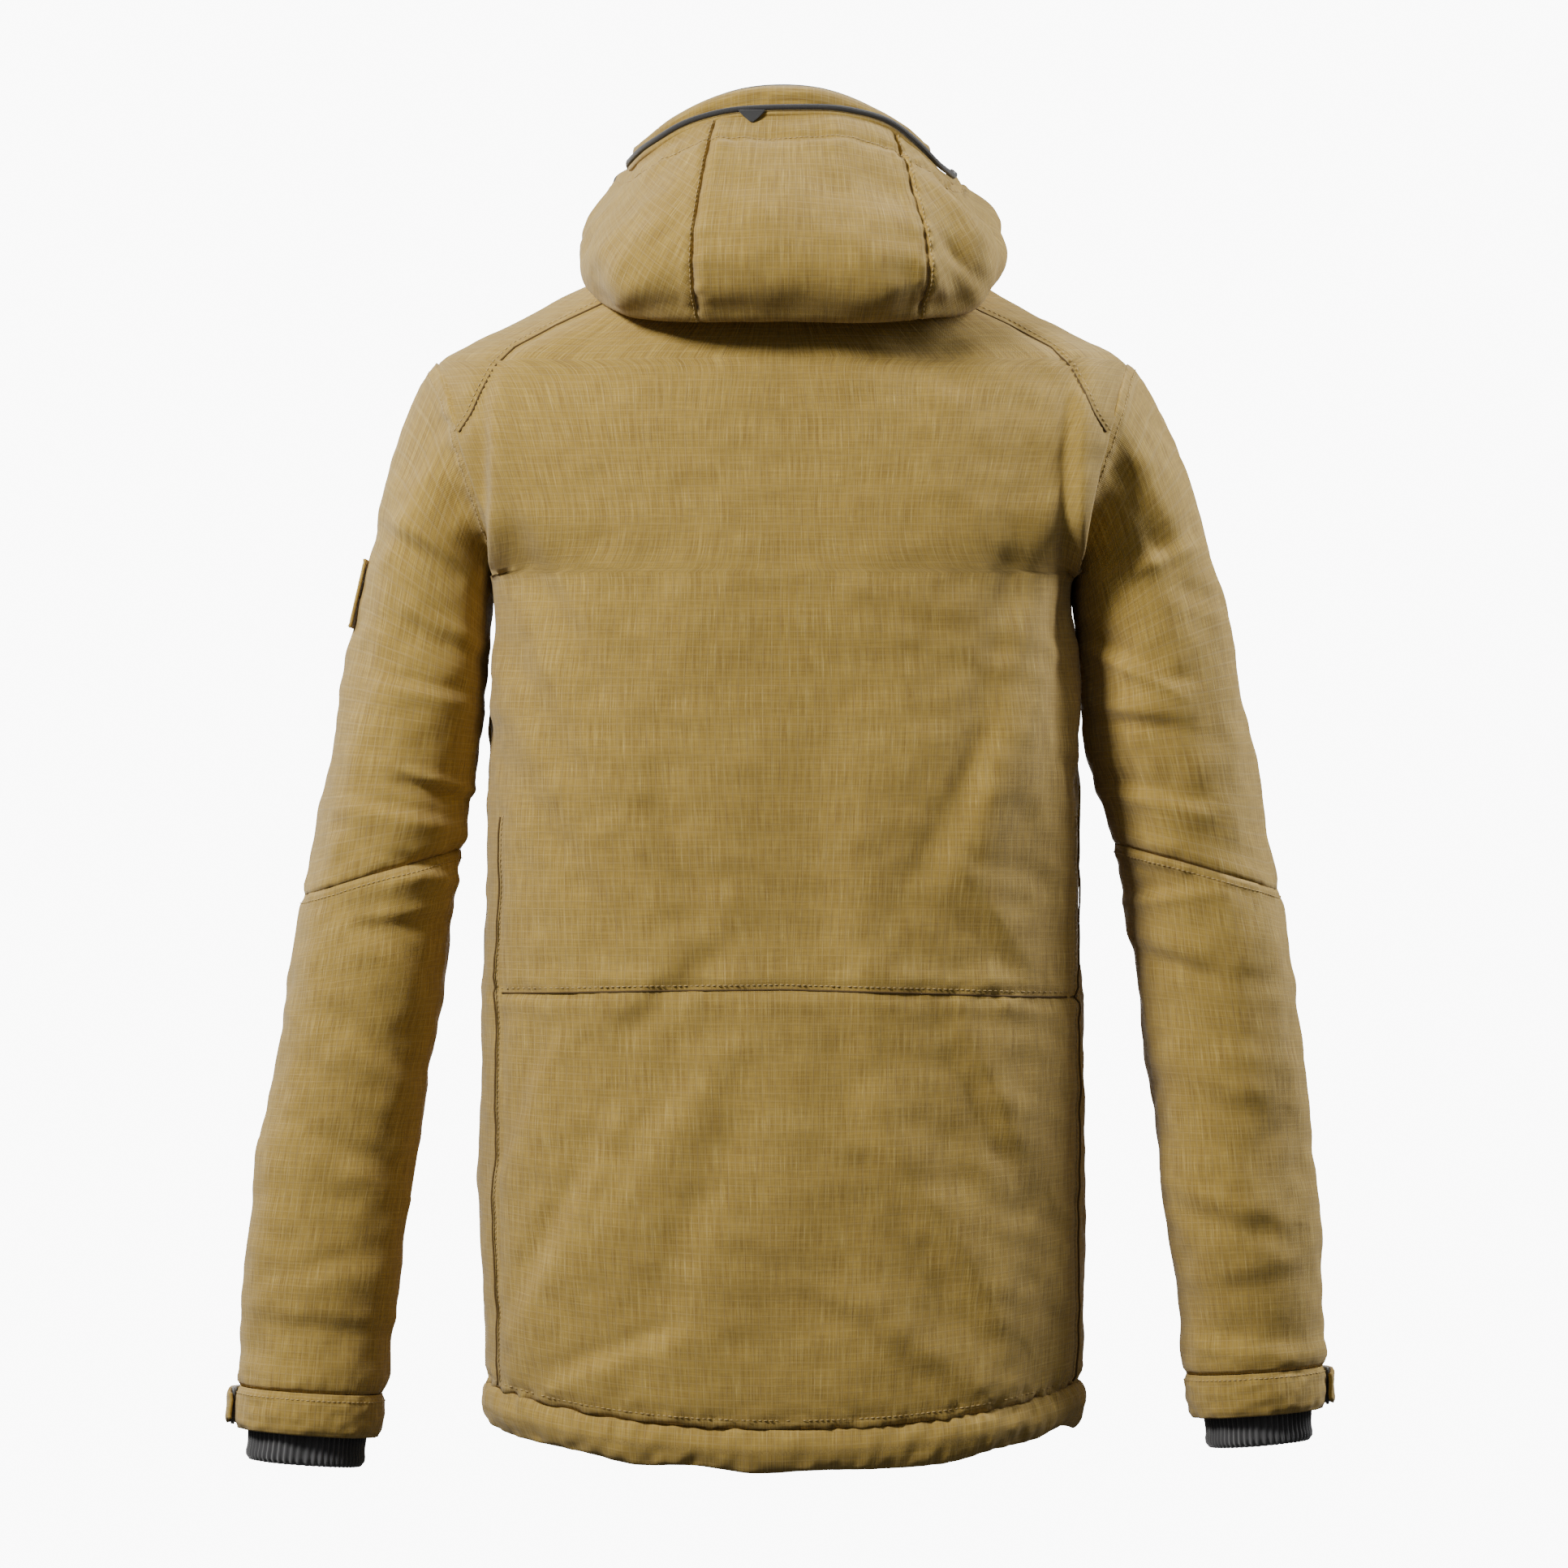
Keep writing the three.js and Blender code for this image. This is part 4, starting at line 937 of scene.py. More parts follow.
def build_wristlet(side, body):
    """Rib knit: upright ribs that pull in a little towards the open end."""
    ribs, per = 58, 6
    count = ribs * per
    turns = np.linspace(0, 1, count + 1)[:-1] * SIGN[side]
    rows = []
    for v in np.linspace(0, 1, 26):
        place = past_end(side, -26 + (CUFF_HIGH + KNIT_SHOWS + 26) * v)
        rows.append(sleeve_point(side, place, turns, 9.4 + 1.2 * v ** 2))
    p = np.array(rows)
    n = outward_normals(p)
    v = np.linspace(0, 1, 26)[:, None]
    rib = 0.85 * np.cos(turns * ribs * 2 * math.pi)[None, :]
    lip = 1.3 * bell(v - 0.94, 0.05) - 1.2 * smoothstep(0.97, 1, v)
    p = p + n * (rib + 0.8 * MEDIUM(p) + lip)[..., None]
    obj = solid_tube(f"rib_wristlet_{side}", p, 2.6, "knit", [f"wristlet_{side}"])
    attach(obj, body)


def sew_ring(name, p, down, body="body", blend=None):
    """Stitches round a sleeve, down mm from the first ring of its grid."""
    n = outward_normals(p)
    fall = run_along(p.mean(1))
    row = int(np.argmin(np.abs(fall - down)))
    places, normals = np.vstack([p[row], p[row][:1]]), np.vstack([n[row], n[row][:1]])
    sew_route(name, places + normals * 0.15, normals, body, blend)


def strip_sheet(side, low, high, turns, inset, rows, columns):
    across = np.linspace(turns[0], turns[1], columns)
    return np.array([sleeve_point(side, place, across, inset) for place in np.linspace(low, high, rows)])


def build_tab(side, body):
    high, low = past_end(side, 2.0), past_end(side, 26.0)
    tab = strip_sheet(side, high, low, (0.035, -0.22), -5.6, 12, 60)
    u = np.linspace(0, 1, 60)[None, :]
    v = np.linspace(-1, 1, 12)[:, None]
    n = strip_normals(tab)
    edge = np.maximum(np.abs(v) ** 6, smoothstep(0.06, 0.0, u) + 0 * v)
    tab = tab + n * (0.9 - 1.2 * edge + 0.25 * PUCKER(tab))[..., None]
    centre = tab.mean(0, keepdims=True)
    narrow = 1 - 0.28 * smoothstep(0.12, 0.0, u)[..., None]
    tab = centre + (tab - centre) * narrow
    obj = thick_grid(f"cuff_strap_{side}", tab, 2.3, outward=facing(tab))
    dress(obj, "trim", f"tab_{side}", [f"cuff_tab_{side}"])
    pad = strip_sheet(side, high, low, (0.02, -0.12), -2.8, 10, 40)
    n = strip_normals(pad)
    pad = pad + n * (0.25 * PUCKER(pad * 1.7))[..., None]
    obj = thick_grid(f"loop_pad_{side}", pad, 2.0, outward=facing(pad))
    dress(obj, "hook", body, [f"cuff_loop_pad_{side}"])


def facing(p):
    """1 or -1, so that a strip's thickness goes towards the middle of the sleeve."""
    n = grid_normals(p, False)
    centre = np.array([math.copysign(CUFF_MIDDLE, p[..., 0].mean()), 0, 0])
    return side_of(n, (p - centre) * LEVEL)


def strip_normals(p):
    return grid_normals(p, False) * facing(p)


def build_patch():
    p = strip_sheet("left", 3.0, 3.85, (0.045, -0.045), -2.2, 30, 30)
    v = np.abs(np.linspace(-1, 1, 30))
    edge = np.maximum(v[:, None], v[None, :]) ** 10
    n = strip_normals(p)
    relief = -1.0 * edge + 0.35 * (np.maximum(v[:, None], v[None, :]) > 0.8)
    p = p + n * relief[..., None]
    obj = thick_grid("blank_patch", p, 1.7, outward=facing(p))
    dress(obj, "trim", "upper_arm_left", ["sleeve_patch"])


# ---- hood

hood_half, hood_deep = smooth_curve(HOOD_HALF, 0.6), smooth_curve(HOOD_DEEP, 0.6)
hood_fall = smooth_curve(HOOD_RIM_FALL, 0.6)
HOOD_SHIFT, HOOD_ARC = -6.0, 330.0
HOOD_MIDDLE = np.array([HOOD_SHIFT, 60, -20.0])


def hood_point(s, t, half, deep):
    """s from -1 at the right end round the back to 1 at the left; t from the rim down."""
    angle = np.radians(HOOD_TURN * s)
    rim = HOOD_RIM_Z + 7 - hood_fall(s)
    low = HOOD_LOW_Z + HOOD_LIFT * np.abs(s) ** 3
    reach = np.where(np.cos(angle) < 0, 80, deep)
    return np.stack([half * power(np.sin(angle), 2 / 3), reach * power(np.cos(angle), 2 / 3),
                     rim + (low - rim) * t], -1)


def hood_section(s, w):
    """w from 0 at the rim to 1 at the fold underneath, then to 1.7 up towards the neck."""
    if w <= 1:
        return hood_point(s, w, hood_half(w), hood_deep(w))
    under = (w - 1) / 0.7
    back_in = under ** 0.6
    return hood_point(s, 1 - 0.46 * under ** 1.2, hood_half(1.0) - 30 * back_in, hood_deep(1.0) - 46 * back_in)


def hood_relief(p, s, w):
    """Panel seams, rim hem, crumples and padding of the lowered hood."""
    height = 1.6 * MEDIUM(p) + 0.35 * FINE(p)
    for seam in (HOOD_SEAM_LEFT, HOOD_SEAM_RIGHT):
        d = np.abs(s - seam + 0 * w) * HOOD_ARC
        height = height - 2.2 * bell(d, 2.2) + 0.9 * bell(d - 9, 6)
        height = height + 0.5 * PUCKER(p) * bell(d, 9)
    hem = np.abs(w - HOOD_HEM) * 130
    height = height - 1.2 * bell(hem, 1.8) + 0.6 * bell(hem - 6, 4) + 0.5 * PUCKER(p) * bell(hem, 8)
    side = smoothstep(0.28, 0.5, np.abs(s))
    height = height + 1.3 * side * MEDIUM(p * 1.5 + 40)
    for s0, w0, s1, w1, high, wide in (
            (-0.34, 0.18, -0.62, 0.62, 4.2, 0.055), (-0.30, 0.42, -0.60, 0.90, -3.6, 0.05),
            (-0.50, 0.16, -0.74, 0.44, -3.4, 0.05), (-0.26, 0.66, -0.44, 1.0, 2.6, 0.05),
            (-0.66, 0.30, -0.80, 0.80, 3.0, 0.05), (0.34, 0.30, 0.62, 0.78, 2.6, 0.06),
            (0.55, 0.22, 0.74, 0.70, -2.6, 0.05), (0.28, 0.75, 0.52, 0.98, 2.0, 0.05)):
        d, along = line_distance(s, w, (s0, w0), (s1, w1))
        height = height + high * bell(d, wide) * np.sin(np.pi * (0.1 + 0.8 * along))
    height = height + 2.4 * np.sin(np.pi * np.clip((w - 0.1) / 0.9, 0, 1)) * (1 - smoothstep(0.12, 0.24, np.abs(s)))
    fade = smoothstep(0.0, 0.05, w) * (1 - 0.8 * smoothstep(0.9, 1.0, w))
    return height * fade


def hood_grid(columns, rows, w_end):
    s_line = np.linspace(1, -1, columns)
    p = np.array([hood_section(s_line, w) for w in np.linspace(0, w_end, rows)])
    for _ in range(max(2, rows // 30)):
        p[1:-1] = (p[:-2] + 2 * p[1:-1] + p[2:]) / 4
    p[..., 0] += HOOD_SHIFT
    n = grid_normals(p, False)
    n *= side_of(n, p - HOOD_MIDDLE)
    s = np.broadcast_to(s_line, p.shape[:2])
    w = np.broadcast_to(np.linspace(0, w_end, rows)[:, None], p.shape[:2])
    return p, n, s, w


def build_hood():
    columns, rows = ((250, 150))
    p, n, s, w = hood_grid(columns, rows, 1.7)
    p = p + n * hood_relief(p, s, w)[..., None]
    for name, grid, material, nodes in split_hood(p, s[0]):
        obj = thick_grid(name, grid, HOOD_WALL, outward=side_of(grid_normals(grid, False), grid - HOOD_MIDDLE))
        dress(obj, material, "hood", nodes)
    sew_hood(p, s[0], w[:, 0])
    q, n, s, w = hood_grid(columns // 2, rows // 2, 1.62)
    q = q + n * (hood_relief(q, s, w) * 0.8 - 4.6)[..., None]
    facing_away = side_of(grid_normals(q, False), q - HOOD_MIDDLE)
    obj = thick_grid("hood_lining_cloth", q, HOOD_LINING_WALL, outward=facing_away)
    dress(obj, "lining", "hood", ["hood_underside"])
    build_cord(p)


def sew_hood(p, s_line, w_line):
    """Topstitching along both panel seams and round the rim hem."""
    n = grid_normals(p, False)
    n *= side_of(n, p - HOOD_MIDDLE)
    last = int(np.argmin(np.abs(w_line - 1.0)))
    for name, seam, aside in (("left", HOOD_SEAM_LEFT, 0.012), ("right", HOOD_SEAM_RIGHT, -0.012)):
        column = int(np.argmin(np.abs(s_line - seam - aside)))
        sew_route(f"stitch_hood_{name}", p[2:last, column] + n[2:last, column] * 0.2, n[2:last, column], body="hood")
    row = int(np.argmin(np.abs(w_line - HOOD_HEM)))
    sew_route("stitch_hood_hem", p[row, 6:-6] + n[row, 6:-6] * 0.2, n[row, 6:-6], body="hood")


def split_hood(p, s_line):
    """The three panels as their own pieces, meeting at the seams."""
    left = np.argmin(np.abs(s_line - HOOD_SEAM_LEFT))
    right = np.argmin(np.abs(s_line - HOOD_SEAM_RIGHT))
    return [("hood_panel_left", p[:, :left + 1], "slant_left", ["hood_side_left"]),
            ("hood_panel_centre", p[:, left:right + 1], "body", ["hood_centre_panel", "hood_hem"]),
            ("hood_panel_right", p[:, right:], "slant_right", ["hood_side_right"])]


def tube_mesh(name, route, radius, sides=12, twist=0.0, ribs=0.0):
    """A closed tube along route (drafting mm), with a braid's turning ridges."""
    route = np.asarray(route, float)
    tangent = np.gradient(route, axis=0)
    tangent /= np.linalg.norm(tangent, axis=1)[:, None]
    up = np.array([0.0, 0.0, 1.0])
    frames = []
    side = np.cross(tangent[0], up)
    side /= np.linalg.norm(side)
    for t in tangent:
        side = side - t * (side @ t)
        side /= np.linalg.norm(side)
        frames.append((side.copy(), np.cross(t, side)))
    run = run_along(route)
    radii = np.broadcast_to(np.asarray(radius, float), run.shape)
    verts, uvs = [], []
    for k, (a, b) in enumerate(frames):
        for i in range(sides):
            angle = 2 * math.pi * i / sides
            r = radii[k] * (1 + ribs * math.cos(3 * angle + twist * run[k]) * math.cos(3 * angle - twist * run[k]))
            verts.append(route[k] + (a * math.cos(angle) + b * math.sin(angle)) * r)
            uvs.append((i / sides * 0.012, run[k] / 1000))
    return closed_mesh(name, verts, ring_faces(sides, len(route)), uvs)


def resample(route, step):
    route = np.asarray(route, float)
    run = run_along(route)
    places = np.linspace(0, run[-1], max(4, int(run[-1] / step)))
    return np.stack([np.interp(places, run, route[:, k]) for k in range(3)], -1)


def build_cord(hood):
    """The black elastic in the rim, its ends down into the cord stoppers, and the small rim tab."""
    rim = hood[0] + np.array([0, 0, 2.4]) + unit_out(hood[0]) * 1.6
    ends = []
    for name in SIGN:
        low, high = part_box(f"cord_stopper_{name}")
        x, y = (low[0] + high[0]) * 500 + HANG[0], (low[1] + high[1]) * 500 + HANG[1]
        top = high[2] * 1000 + HANG[2]
        ends.append(np.array([[x, y, top - 2], [x, y, top + 4], [x, y + 1.5, top + 9]]))
    route = np.concatenate([ends[0], rim[3:-3], ends[1][::-1]])
    smooth = resample(route, 1.6)
    for _ in range(10):
        smooth[1:-1] = (smooth[:-2] + 2 * smooth[1:-1] + smooth[2:]) / 4
    obj = tube_mesh("rim_cord", smooth, 2.0, 12, 1.1, 0.05)
    dress(obj, "cord", "hood", ["hood_cord"])
    binding = resample(hood[0] + np.array([0, 0, -1.8]), 2.2)
    obj = tube_mesh("rim_binding", binding, 2.2, 10)
    dress(obj, "body", "hood")
    build_rim_tab(hood)
    for side in SIGN:
        build_stopper(side)


def unit_out(line):
    """Level directions from the neck to the points of a line."""
    out = (line - np.array([HOOD_SHIFT, 20.0, 0.0])) * LEVEL
    return out / np.linalg.norm(out, axis=1)[:, None]


def build_rim_tab(hood):
    middle = hood[0][hood.shape[1] // 2 - 6]
    u = np.linspace(-1, 1, 17)
    rows = []
    for v in np.linspace(0, 1, 12):
        wide = 8 * (1 - v ** 1.3) + 0.6
        rows.append(np.stack([middle[0] + 6 + u * wide, middle[1] + 3.4 + 2.2 * v + 0 * u,
                              middle[2] + 1 - 8 * v + 0 * u], -1))
    obj = thick_grid("rim_tab", np.array(rows), 1.3)
    dress(obj, "tape", "hood", ["hood_rim_tab"])


def lathe(name, profile, centre, sides=40):
    """profile of (radius, height) turned about the upright axis through centre."""
    verts = []
    for r, h in profile:
        for i in range(sides):
            angle = 2 * math.pi * i / sides
            verts.append((centre[0] + r * math.cos(angle), centre[1] + r * math.sin(angle), centre[2] + h))
    return closed_mesh(name, verts, ring_faces(sides, len(profile), caps=profile[0] != profile[-1]))


def node_centre(name):
    low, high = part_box(name)
    return np.array([(low[k] + high[k]) * 500 for k in range(3)]) + HANG, low, high


def build_stopper(side):
    centre, low, high = node_centre(f"cord_stopper_{side}")
    top = high[2] * 1000 + HANG[2]
    mouth = np.array([centre[0], centre[1], top])
    barrel = [(3.4, -0.8), (3.4, 0.0), (4.6, 0.0), (5.6, -0.5), (6.2, -1.6), (6.5, -4), (6.5, -5.2), (6.1, -5.6),
              (6.1, -6.4), (6.5, -6.8), (6.4, -11.6), (6.0, -12.8), (5.2, -13.0), (4.7, -12.8), (4.7, -5.4),
              (3.4, -4.6), (3.4, -0.8)]
    dress(lathe(f"stopper_barrel_{side}", barrel, mouth), "plastic", "hood", [f"cord_stopper_{side}"])
    button = [(4.1, -9.2), (4.15, -16.8), (3.9, -18.1), (3.2, -18.8), (2.2, -18.9), (1.6, -18.6)]
    obj = lathe(f"stopper_plunger_{side}", button, mouth)
    dress(obj, "plastic", f"stopper_button_{side}", [f"cord_stopper_button_{side}"])


# ---- zips and pockets

def rounded_block(name, low, high, place, bevel, segments=3):
    """A block with rounded edges; low and high in its own mm, place maps them to the drafting frame."""
    bm = bmesh.new()
    bmesh.ops.create_cube(bm, size=1.0)
    size, centre = np.subtract(high, low), (np.add(high, low)) / 2
    for vert in bm.verts:
        vert.co = Vector(np.array(vert.co) * size + centre)
    bmesh.ops.bevel(bm, geom=list(bm.edges), offset=bevel, segments=segments, affect="EDGES", profile=0.7)
    verts = [place(np.array(v.co)) for v in bm.verts]
    faces = [[v.index for v in f.verts] for f in bm.faces]
    bm.free()
    return closed_mesh(name, verts, faces)


def join(name, objects):
    """One mesh from several."""
    bm = bmesh.new()
    for obj in objects:
        bm.from_mesh(obj.data)
        bpy.data.objects.remove(obj)
    mesh = bpy.data.meshes.new(name)
    bm.to_mesh(mesh)
    bm.free()
    shade(mesh)
    out = bpy.data.objects.new(name, mesh)
    bpy.context.scene.collection.objects.link(out)
    return out


def front_zip_place(q):
    """The front zip's own x, depth and height, leaned with the chest."""
    lean = math.atan(ZIP_LEAN)
    x, y, z = q
    cos, sin = math.cos(lean), math.sin(lean)
    return np.array([x, front_y(0.0) + y * cos + z * sin, z * cos - y * sin])


def pocket_axes(side):
    """Middle of a pocket and its own across, inward and upward directions."""
    sign = SIGN[side]
    share = POCKET_X / CHEST_HALF
    deep = (1 - share ** CHEST_SQUARE) ** (1 / CHEST_SQUARE)
    slope = sign * math.atan(-front_y(POCKET_Z) / CHEST_HALF * (share / deep) ** 1.4)
    lean = -sign * math.radians(POCKET_LEAN)
    base = np.array([sign * POCKET_X, front_y(POCKET_Z) * deep - WELT_PROUD, POCKET_Z])
    across = np.array([math.cos(lean) * math.cos(slope), math.cos(lean) * math.sin(slope), -math.sin(lean)])
    inward = np.array([-math.sin(slope), math.cos(slope), 0.0])
    up = np.array([math.sin(lean) * math.cos(slope), math.sin(lean) * math.sin(slope), math.cos(lean)])
    return base, across, inward, up


def pocket_frame(side):
    """Maps a pocket's own x, depth and height to the drafting frame."""
    base, across, inward, up = pocket_axes(side)
    return lambda q: base + across * q[0] + inward * q[1] + up * q[2]


def zip_slider(prefix, place, scale, body, pull_body, at):
    """Slider plate with shoulders, a bail, and a pull with a moulded grip."""
    put = lambda q: place(np.asarray(q, float) * scale + at)
    parts = [rounded_block("plate", (-5.5, -3.4, -7.5), (5.5, -0.4, 7.5), put, 1.1 * scale),
             rounded_block("throat", (-4.2, -4.1, -5.5), (4.2, -3.2, 5.5), put, 0.4 * scale),
             rounded_block("bail_top", (-1.9, -6.5, -1.4), (1.9, -5.2, 4.4), put, 0.5 * scale),
             rounded_block("bail_low", (-1.9, -6.5, -1.4), (1.9, -3.2, 0.3), put, 0.5 * scale),
             rounded_block("bail_high", (-1.9, -6.5, 3.2), (1.9, -3.2, 4.5), put, 0.5 * scale)]
    dress(join(f"{prefix}_slider_plate", parts), "metal", body, [f"{prefix}_slider"])
    outline = [(-3.9, 1.1), (3.9, 1.1), (4.3, -17), (3.4, -33), (2.4, -34), (-2.4, -34), (-3.4, -33), (-4.3, -17)]
    back, front = -6.8, -8.3
    verts = []
    for y, shrink in ((back, 0.92), (back - 0.3, 1.0), (front + 0.3, 1.0), (front, 0.9)):
        for x, z in outline:
            verts.append(put((x * shrink, y, (z + 16) * (0.97 if shrink < 1 else 1) - 16 - 0.7)))
    n = len(outline)
    ends = [tuple(range(n)), tuple(reversed(range(3 * n, 4 * n)))]
    obj = closed_mesh("pull_plate", verts, ring_faces(n, 4, caps=False) + ends)
    shade(obj.data, False)
    grip = [obj]
    for z in (-14, -17, -20, -23, -26):
        grip.append(rounded_block("rib", (-2.6, -8.75, z - 0.6), (2.6, -8.1, z + 0.6), put, 0.25 * scale, 1))
    dress(join(f"{prefix}_pull_grip", grip), "rubber", pull_body, [f"{prefix}_pull"])


def teeth_row(name, place, x0, x1, depth, low, high, pitch, sign):
    """Coil teeth: one rounded tooth every pitch along the tape's edge."""
    verts, faces = [], []
    shift, half = 0.25 * pitch * sign, 0.36 * pitch
    for z in np.arange(low, high, pitch):
        faces += ring_faces(8, 4, len(verts))
        for y, pinch in ((depth[0], 0.55), (depth[0] + 0.5, 1.0), (depth[1] - 0.4, 1.0), (depth[1], 0.6)):
            for x, w in ((x0, 0.7), (x0 + 0.5, 1.0), (x1 - 0.4, 1.0), (x1, 0.7)):
                verts.append(place((sign * x, y, z + shift + half * w * pinch)))
            for x, w in ((x1, 0.7), (x1 - 0.4, 1.0), (x0 + 0.5, 1.0), (x0, 0.7)):
                verts.append(place((sign * x, y, z + shift - half * w * pinch)))
    return closed_mesh(name, verts, faces)


def flat_strip(name, place, x0, x1, y0, y1, low, high, rows, ripple=0.0):
    """A flat tape between two edges, from low to high."""
    z = np.linspace(low, high, rows)
    x = np.linspace(x0, x1, 7)
    grid = np.array([[place((u, y0 + ripple * math.sin(v / 17.0) * abs(u) / 9, v)) for u in x] for v in z])
    n = grid_normals(grid, False)
    toward = side_of(n, place((0, y0 - 10, 0)) - place((0, y0, 0)))
    return thick_grid(name, grid, y1 - y0, outward=-1 if toward < 0 else None)


def build_front_zip():
    top, low = COLLAR_TOP - COLLAR_DROP - 3, HEM_Z + HEM_RISE + 2
    for side in SIGN:
        sign = SIGN[side]
        strip = flat_strip(f"front_zip_tape_{side}", front_zip_place, sign * 3.6, sign * 8.5, 1.3, 2.7,
                           low, top, 260)
        dress(strip, "tape", "body", [f"zip_tape_{side}"])
        row = teeth_row(f"front_zip_coil_{side}", front_zip_place, 0.25, 3.2, (0.7, 2.8),
                        low + 13, top - 4, 2.6, sign)
        dress(row, "plastic", "body", [f"zip_teeth_{side}"])
    box = rounded_block("front_zip_box", (-3.2, 0.4, low), (3.2, 2.9, low + 11.7), front_zip_place, 0.6)
    dress(box, "plastic", "body", ["zip_box"])
    rows = np.linspace(low + 16, top - 80, 160)
    across = np.linspace(-16, 16, 9)
    grid = np.array([[front_zip_place((u, 12.6 + 0.5 * math.sin(v / 26 + u / 9), v)) for u in across] for v in rows])
    flap = thick_grid("wind_flap", grid, 1.8)
    dress(flap, "lining", "body", ["zip_inner_flap"])
    zip_slider("front_zip", front_zip_place, 1.0, "slider", "pull", np.array([0, 0.2, top - 14]))


def build_pocket(side):
    place = pocket_frame(side)
    half = POCKET_LONG / 2
    u = np.linspace(0, 1, 121)[:-1]
    rings = []
    for grow, y in ((-0.6, 1.4), (-0.3, -0.1), (0.4, -0.7), (2.0, -1.0), (4.5, -1.0),
                    (6.2, -0.6), (7.0, 0.6), (7.0, 1.6)):
        a = 4.2 + grow
        b = half - 10 + grow * 1.35
        ring = []
        for k in u:
            angle = 2 * math.pi * k
            ring.append((a * power(math.cos(angle), 0.28), y, b * power(math.sin(angle), 0.28)))
        rings.append([place(q) for q in ring])
    p = np.array(rings)
    out = place((0, -1, 0)) - place((0, 0, 0))
    p += (0.25 * PUCKER(p * 1.3))[..., None] * out
    n = grid_normals(p, True)
    sign = side_of(n[3], out)
    obj = thick_grid(f"pocket_lips_{side}", p, 0.9, True, outward=-1 if sign < 0 else None)
    dress(obj, "trim", "body", [f"pocket_welt_{side}"])
    rows = [teeth_row(f"row_{s}", place, 0.2, 2.2, (0.6, 2.2), -half + 11, half - 11, 2.0, s) for s in (1, -1)]
    dress(join(f"pocket_coil_{side}", rows), "plastic", "body", [f"pocket_zip_{side}"])
    for s in (1, -1):
        tape = flat_strip(f"pocket_tape_{side}_{'a' if s > 0 else 'b'}", place, s * 2.3, s * 4.6, 1.0, 1.9,
                          -half + 8, half - 8, 60)
        dress(tape, "tape", "body")
    zip_slider(f"pocket_{side}", place, 0.7, f"pocket_slider_{side}", f"pocket_pull_{side}",
               np.array([0, -0.4, half - 20]))


def build_hang_loop():
    """The woven loop in the back of the neck: a strap sewn down at both ends, with a raised loop."""
    at = np.array([0.0, 5.4, 0.0]) + HANG
    u = np.linspace(-26, 26, 60)
    v = np.linspace(-5, 5, 10)
    base = np.array([[(a, 0.1 + 0.15 * math.sin(a * 1.3), b) for a in u] for b in v]) + at
    strap = thick_grid("loop_strap", base, 1.7, outward=facing_front(base))
    angle = np.linspace(0, math.pi, 70)
    x = -21.5 * np.sign(np.cos(angle)) * np.abs(np.cos(angle)) ** 0.35
    y = 0.9 - 7.6 * np.abs(np.sin(angle)) ** 0.35
    w = np.linspace(-3.4, 3.4, 8)
    raised = np.array([[(a, b, c) for a, b in zip(x, y)] for c in w]) + at
    loop = thick_grid("loop_raised", raised, 1.3, outward=facing_front(raised))
    dress(join("neck_loop", [strap, loop]), "tape", "body", ["hang_loop"])


def facing_front(p):
    return side_of(grid_normals(p, False), np.array([0, -1, 0]))


# ---- stitches

# The third size is the radius of the thin dark strips painted as seam shadow.
ROUTE_PITCH, DROP_PITCH, SEAM_SHADOW_RADIUS, SEAM_ASIDE = 3.4, 3.6, 0.75, 3.2
BEHIND, BEFORE = 200.0, -260.0
BACKWARD, FORWARD = (0, 1, 0), (0, -1, 0)

def stitch_mesh(name, places, normals, along, length, radius, body="body", blend=None):
    """Short thread stitches lying on the cloth."""
    verts, faces = [], []
    sides = 6
    rings = ((-0.5, 0.35, -0.4), (-0.36, 0.9, 0.35), (0.0, 1.0, 0.75), (0.36, 0.9, 0.35), (0.5, 0.35, -0.4))
    for p, n, t in zip(places, normals, along):
        side = np.cross(n, t)
        faces += ring_faces(sides, len(rings), len(verts))
        for shift, fat, lift in rings:
            centre = p + t * (shift * length) + n * (lift * radius)
            for k in range(sides):
                angle = 2 * math.pi * k / sides
                verts.append(centre + (side * math.cos(angle) * 1.25 + n * math.sin(angle)) * radius * fat)
    obj = new_object(name, world(verts), faces)
    dress(obj, "thread", None if blend else body)
    if blend:
        blend_over(obj)


def sew(name, target, points, toward):
    """Stitches along drafting points, dropped onto target along the direction toward."""
    places, normals = drop_on(target, points, toward, DROP_PITCH)
    if len(places) < 3:
        return
    along = np.gradient(places, axis=0)
    length_of = np.linalg.norm(along, axis=1)
    keep = (length_of > 0.3 * DROP_PITCH) & (length_of < 3 * DROP_PITCH)
    along = along / np.maximum(length_of, 1e-6)[:, None]
    along = along - normals * (along * normals).sum(-1)[:, None]
    along /= np.maximum(np.linalg.norm(along, axis=1), 1e-6)[:, None]
    stitch_mesh(name, places[keep], normals[keep], along[keep], 2.6, 0.30)


def drop_on(target, points, toward, pitch):
    """Points dropped onto target along toward, and the normals there, in the drafting frame."""
    tree = BVHTree.FromPolygons([v.co.copy() for v in target.data.vertices],
                                [p.vertices[:] for p in target.data.polygons])
    way = Vector(toward).normalized()
    places, normals = [], []
    for q in resample(points, pitch):
        start = Vector(world([q])[0]) - way * 0.3
        hit, normal, _, _ = tree.ray_cast(start, way, 0.6)
        if hit is not None:
            places.append(np.array(hit) * 1000 + HANG)
            normals.append(np.array(normal if normal.dot(way) < 0 else -normal))
    return np.array(places), np.array(normals)


def seam_shadow_line(name, target, points, toward):
    """Painted seam shadow where two cloths meet: a thin dark strip let into the groove."""
    places, normals = drop_on(target, points, toward, 4.0)
    if len(places) < 4:
        return
    obj = tube_mesh(name, places + normals * (SEAM_SHADOW_RADIUS * 0.05), SEAM_SHADOW_RADIUS, 6)
    dress(obj, "seam_shade", "body")


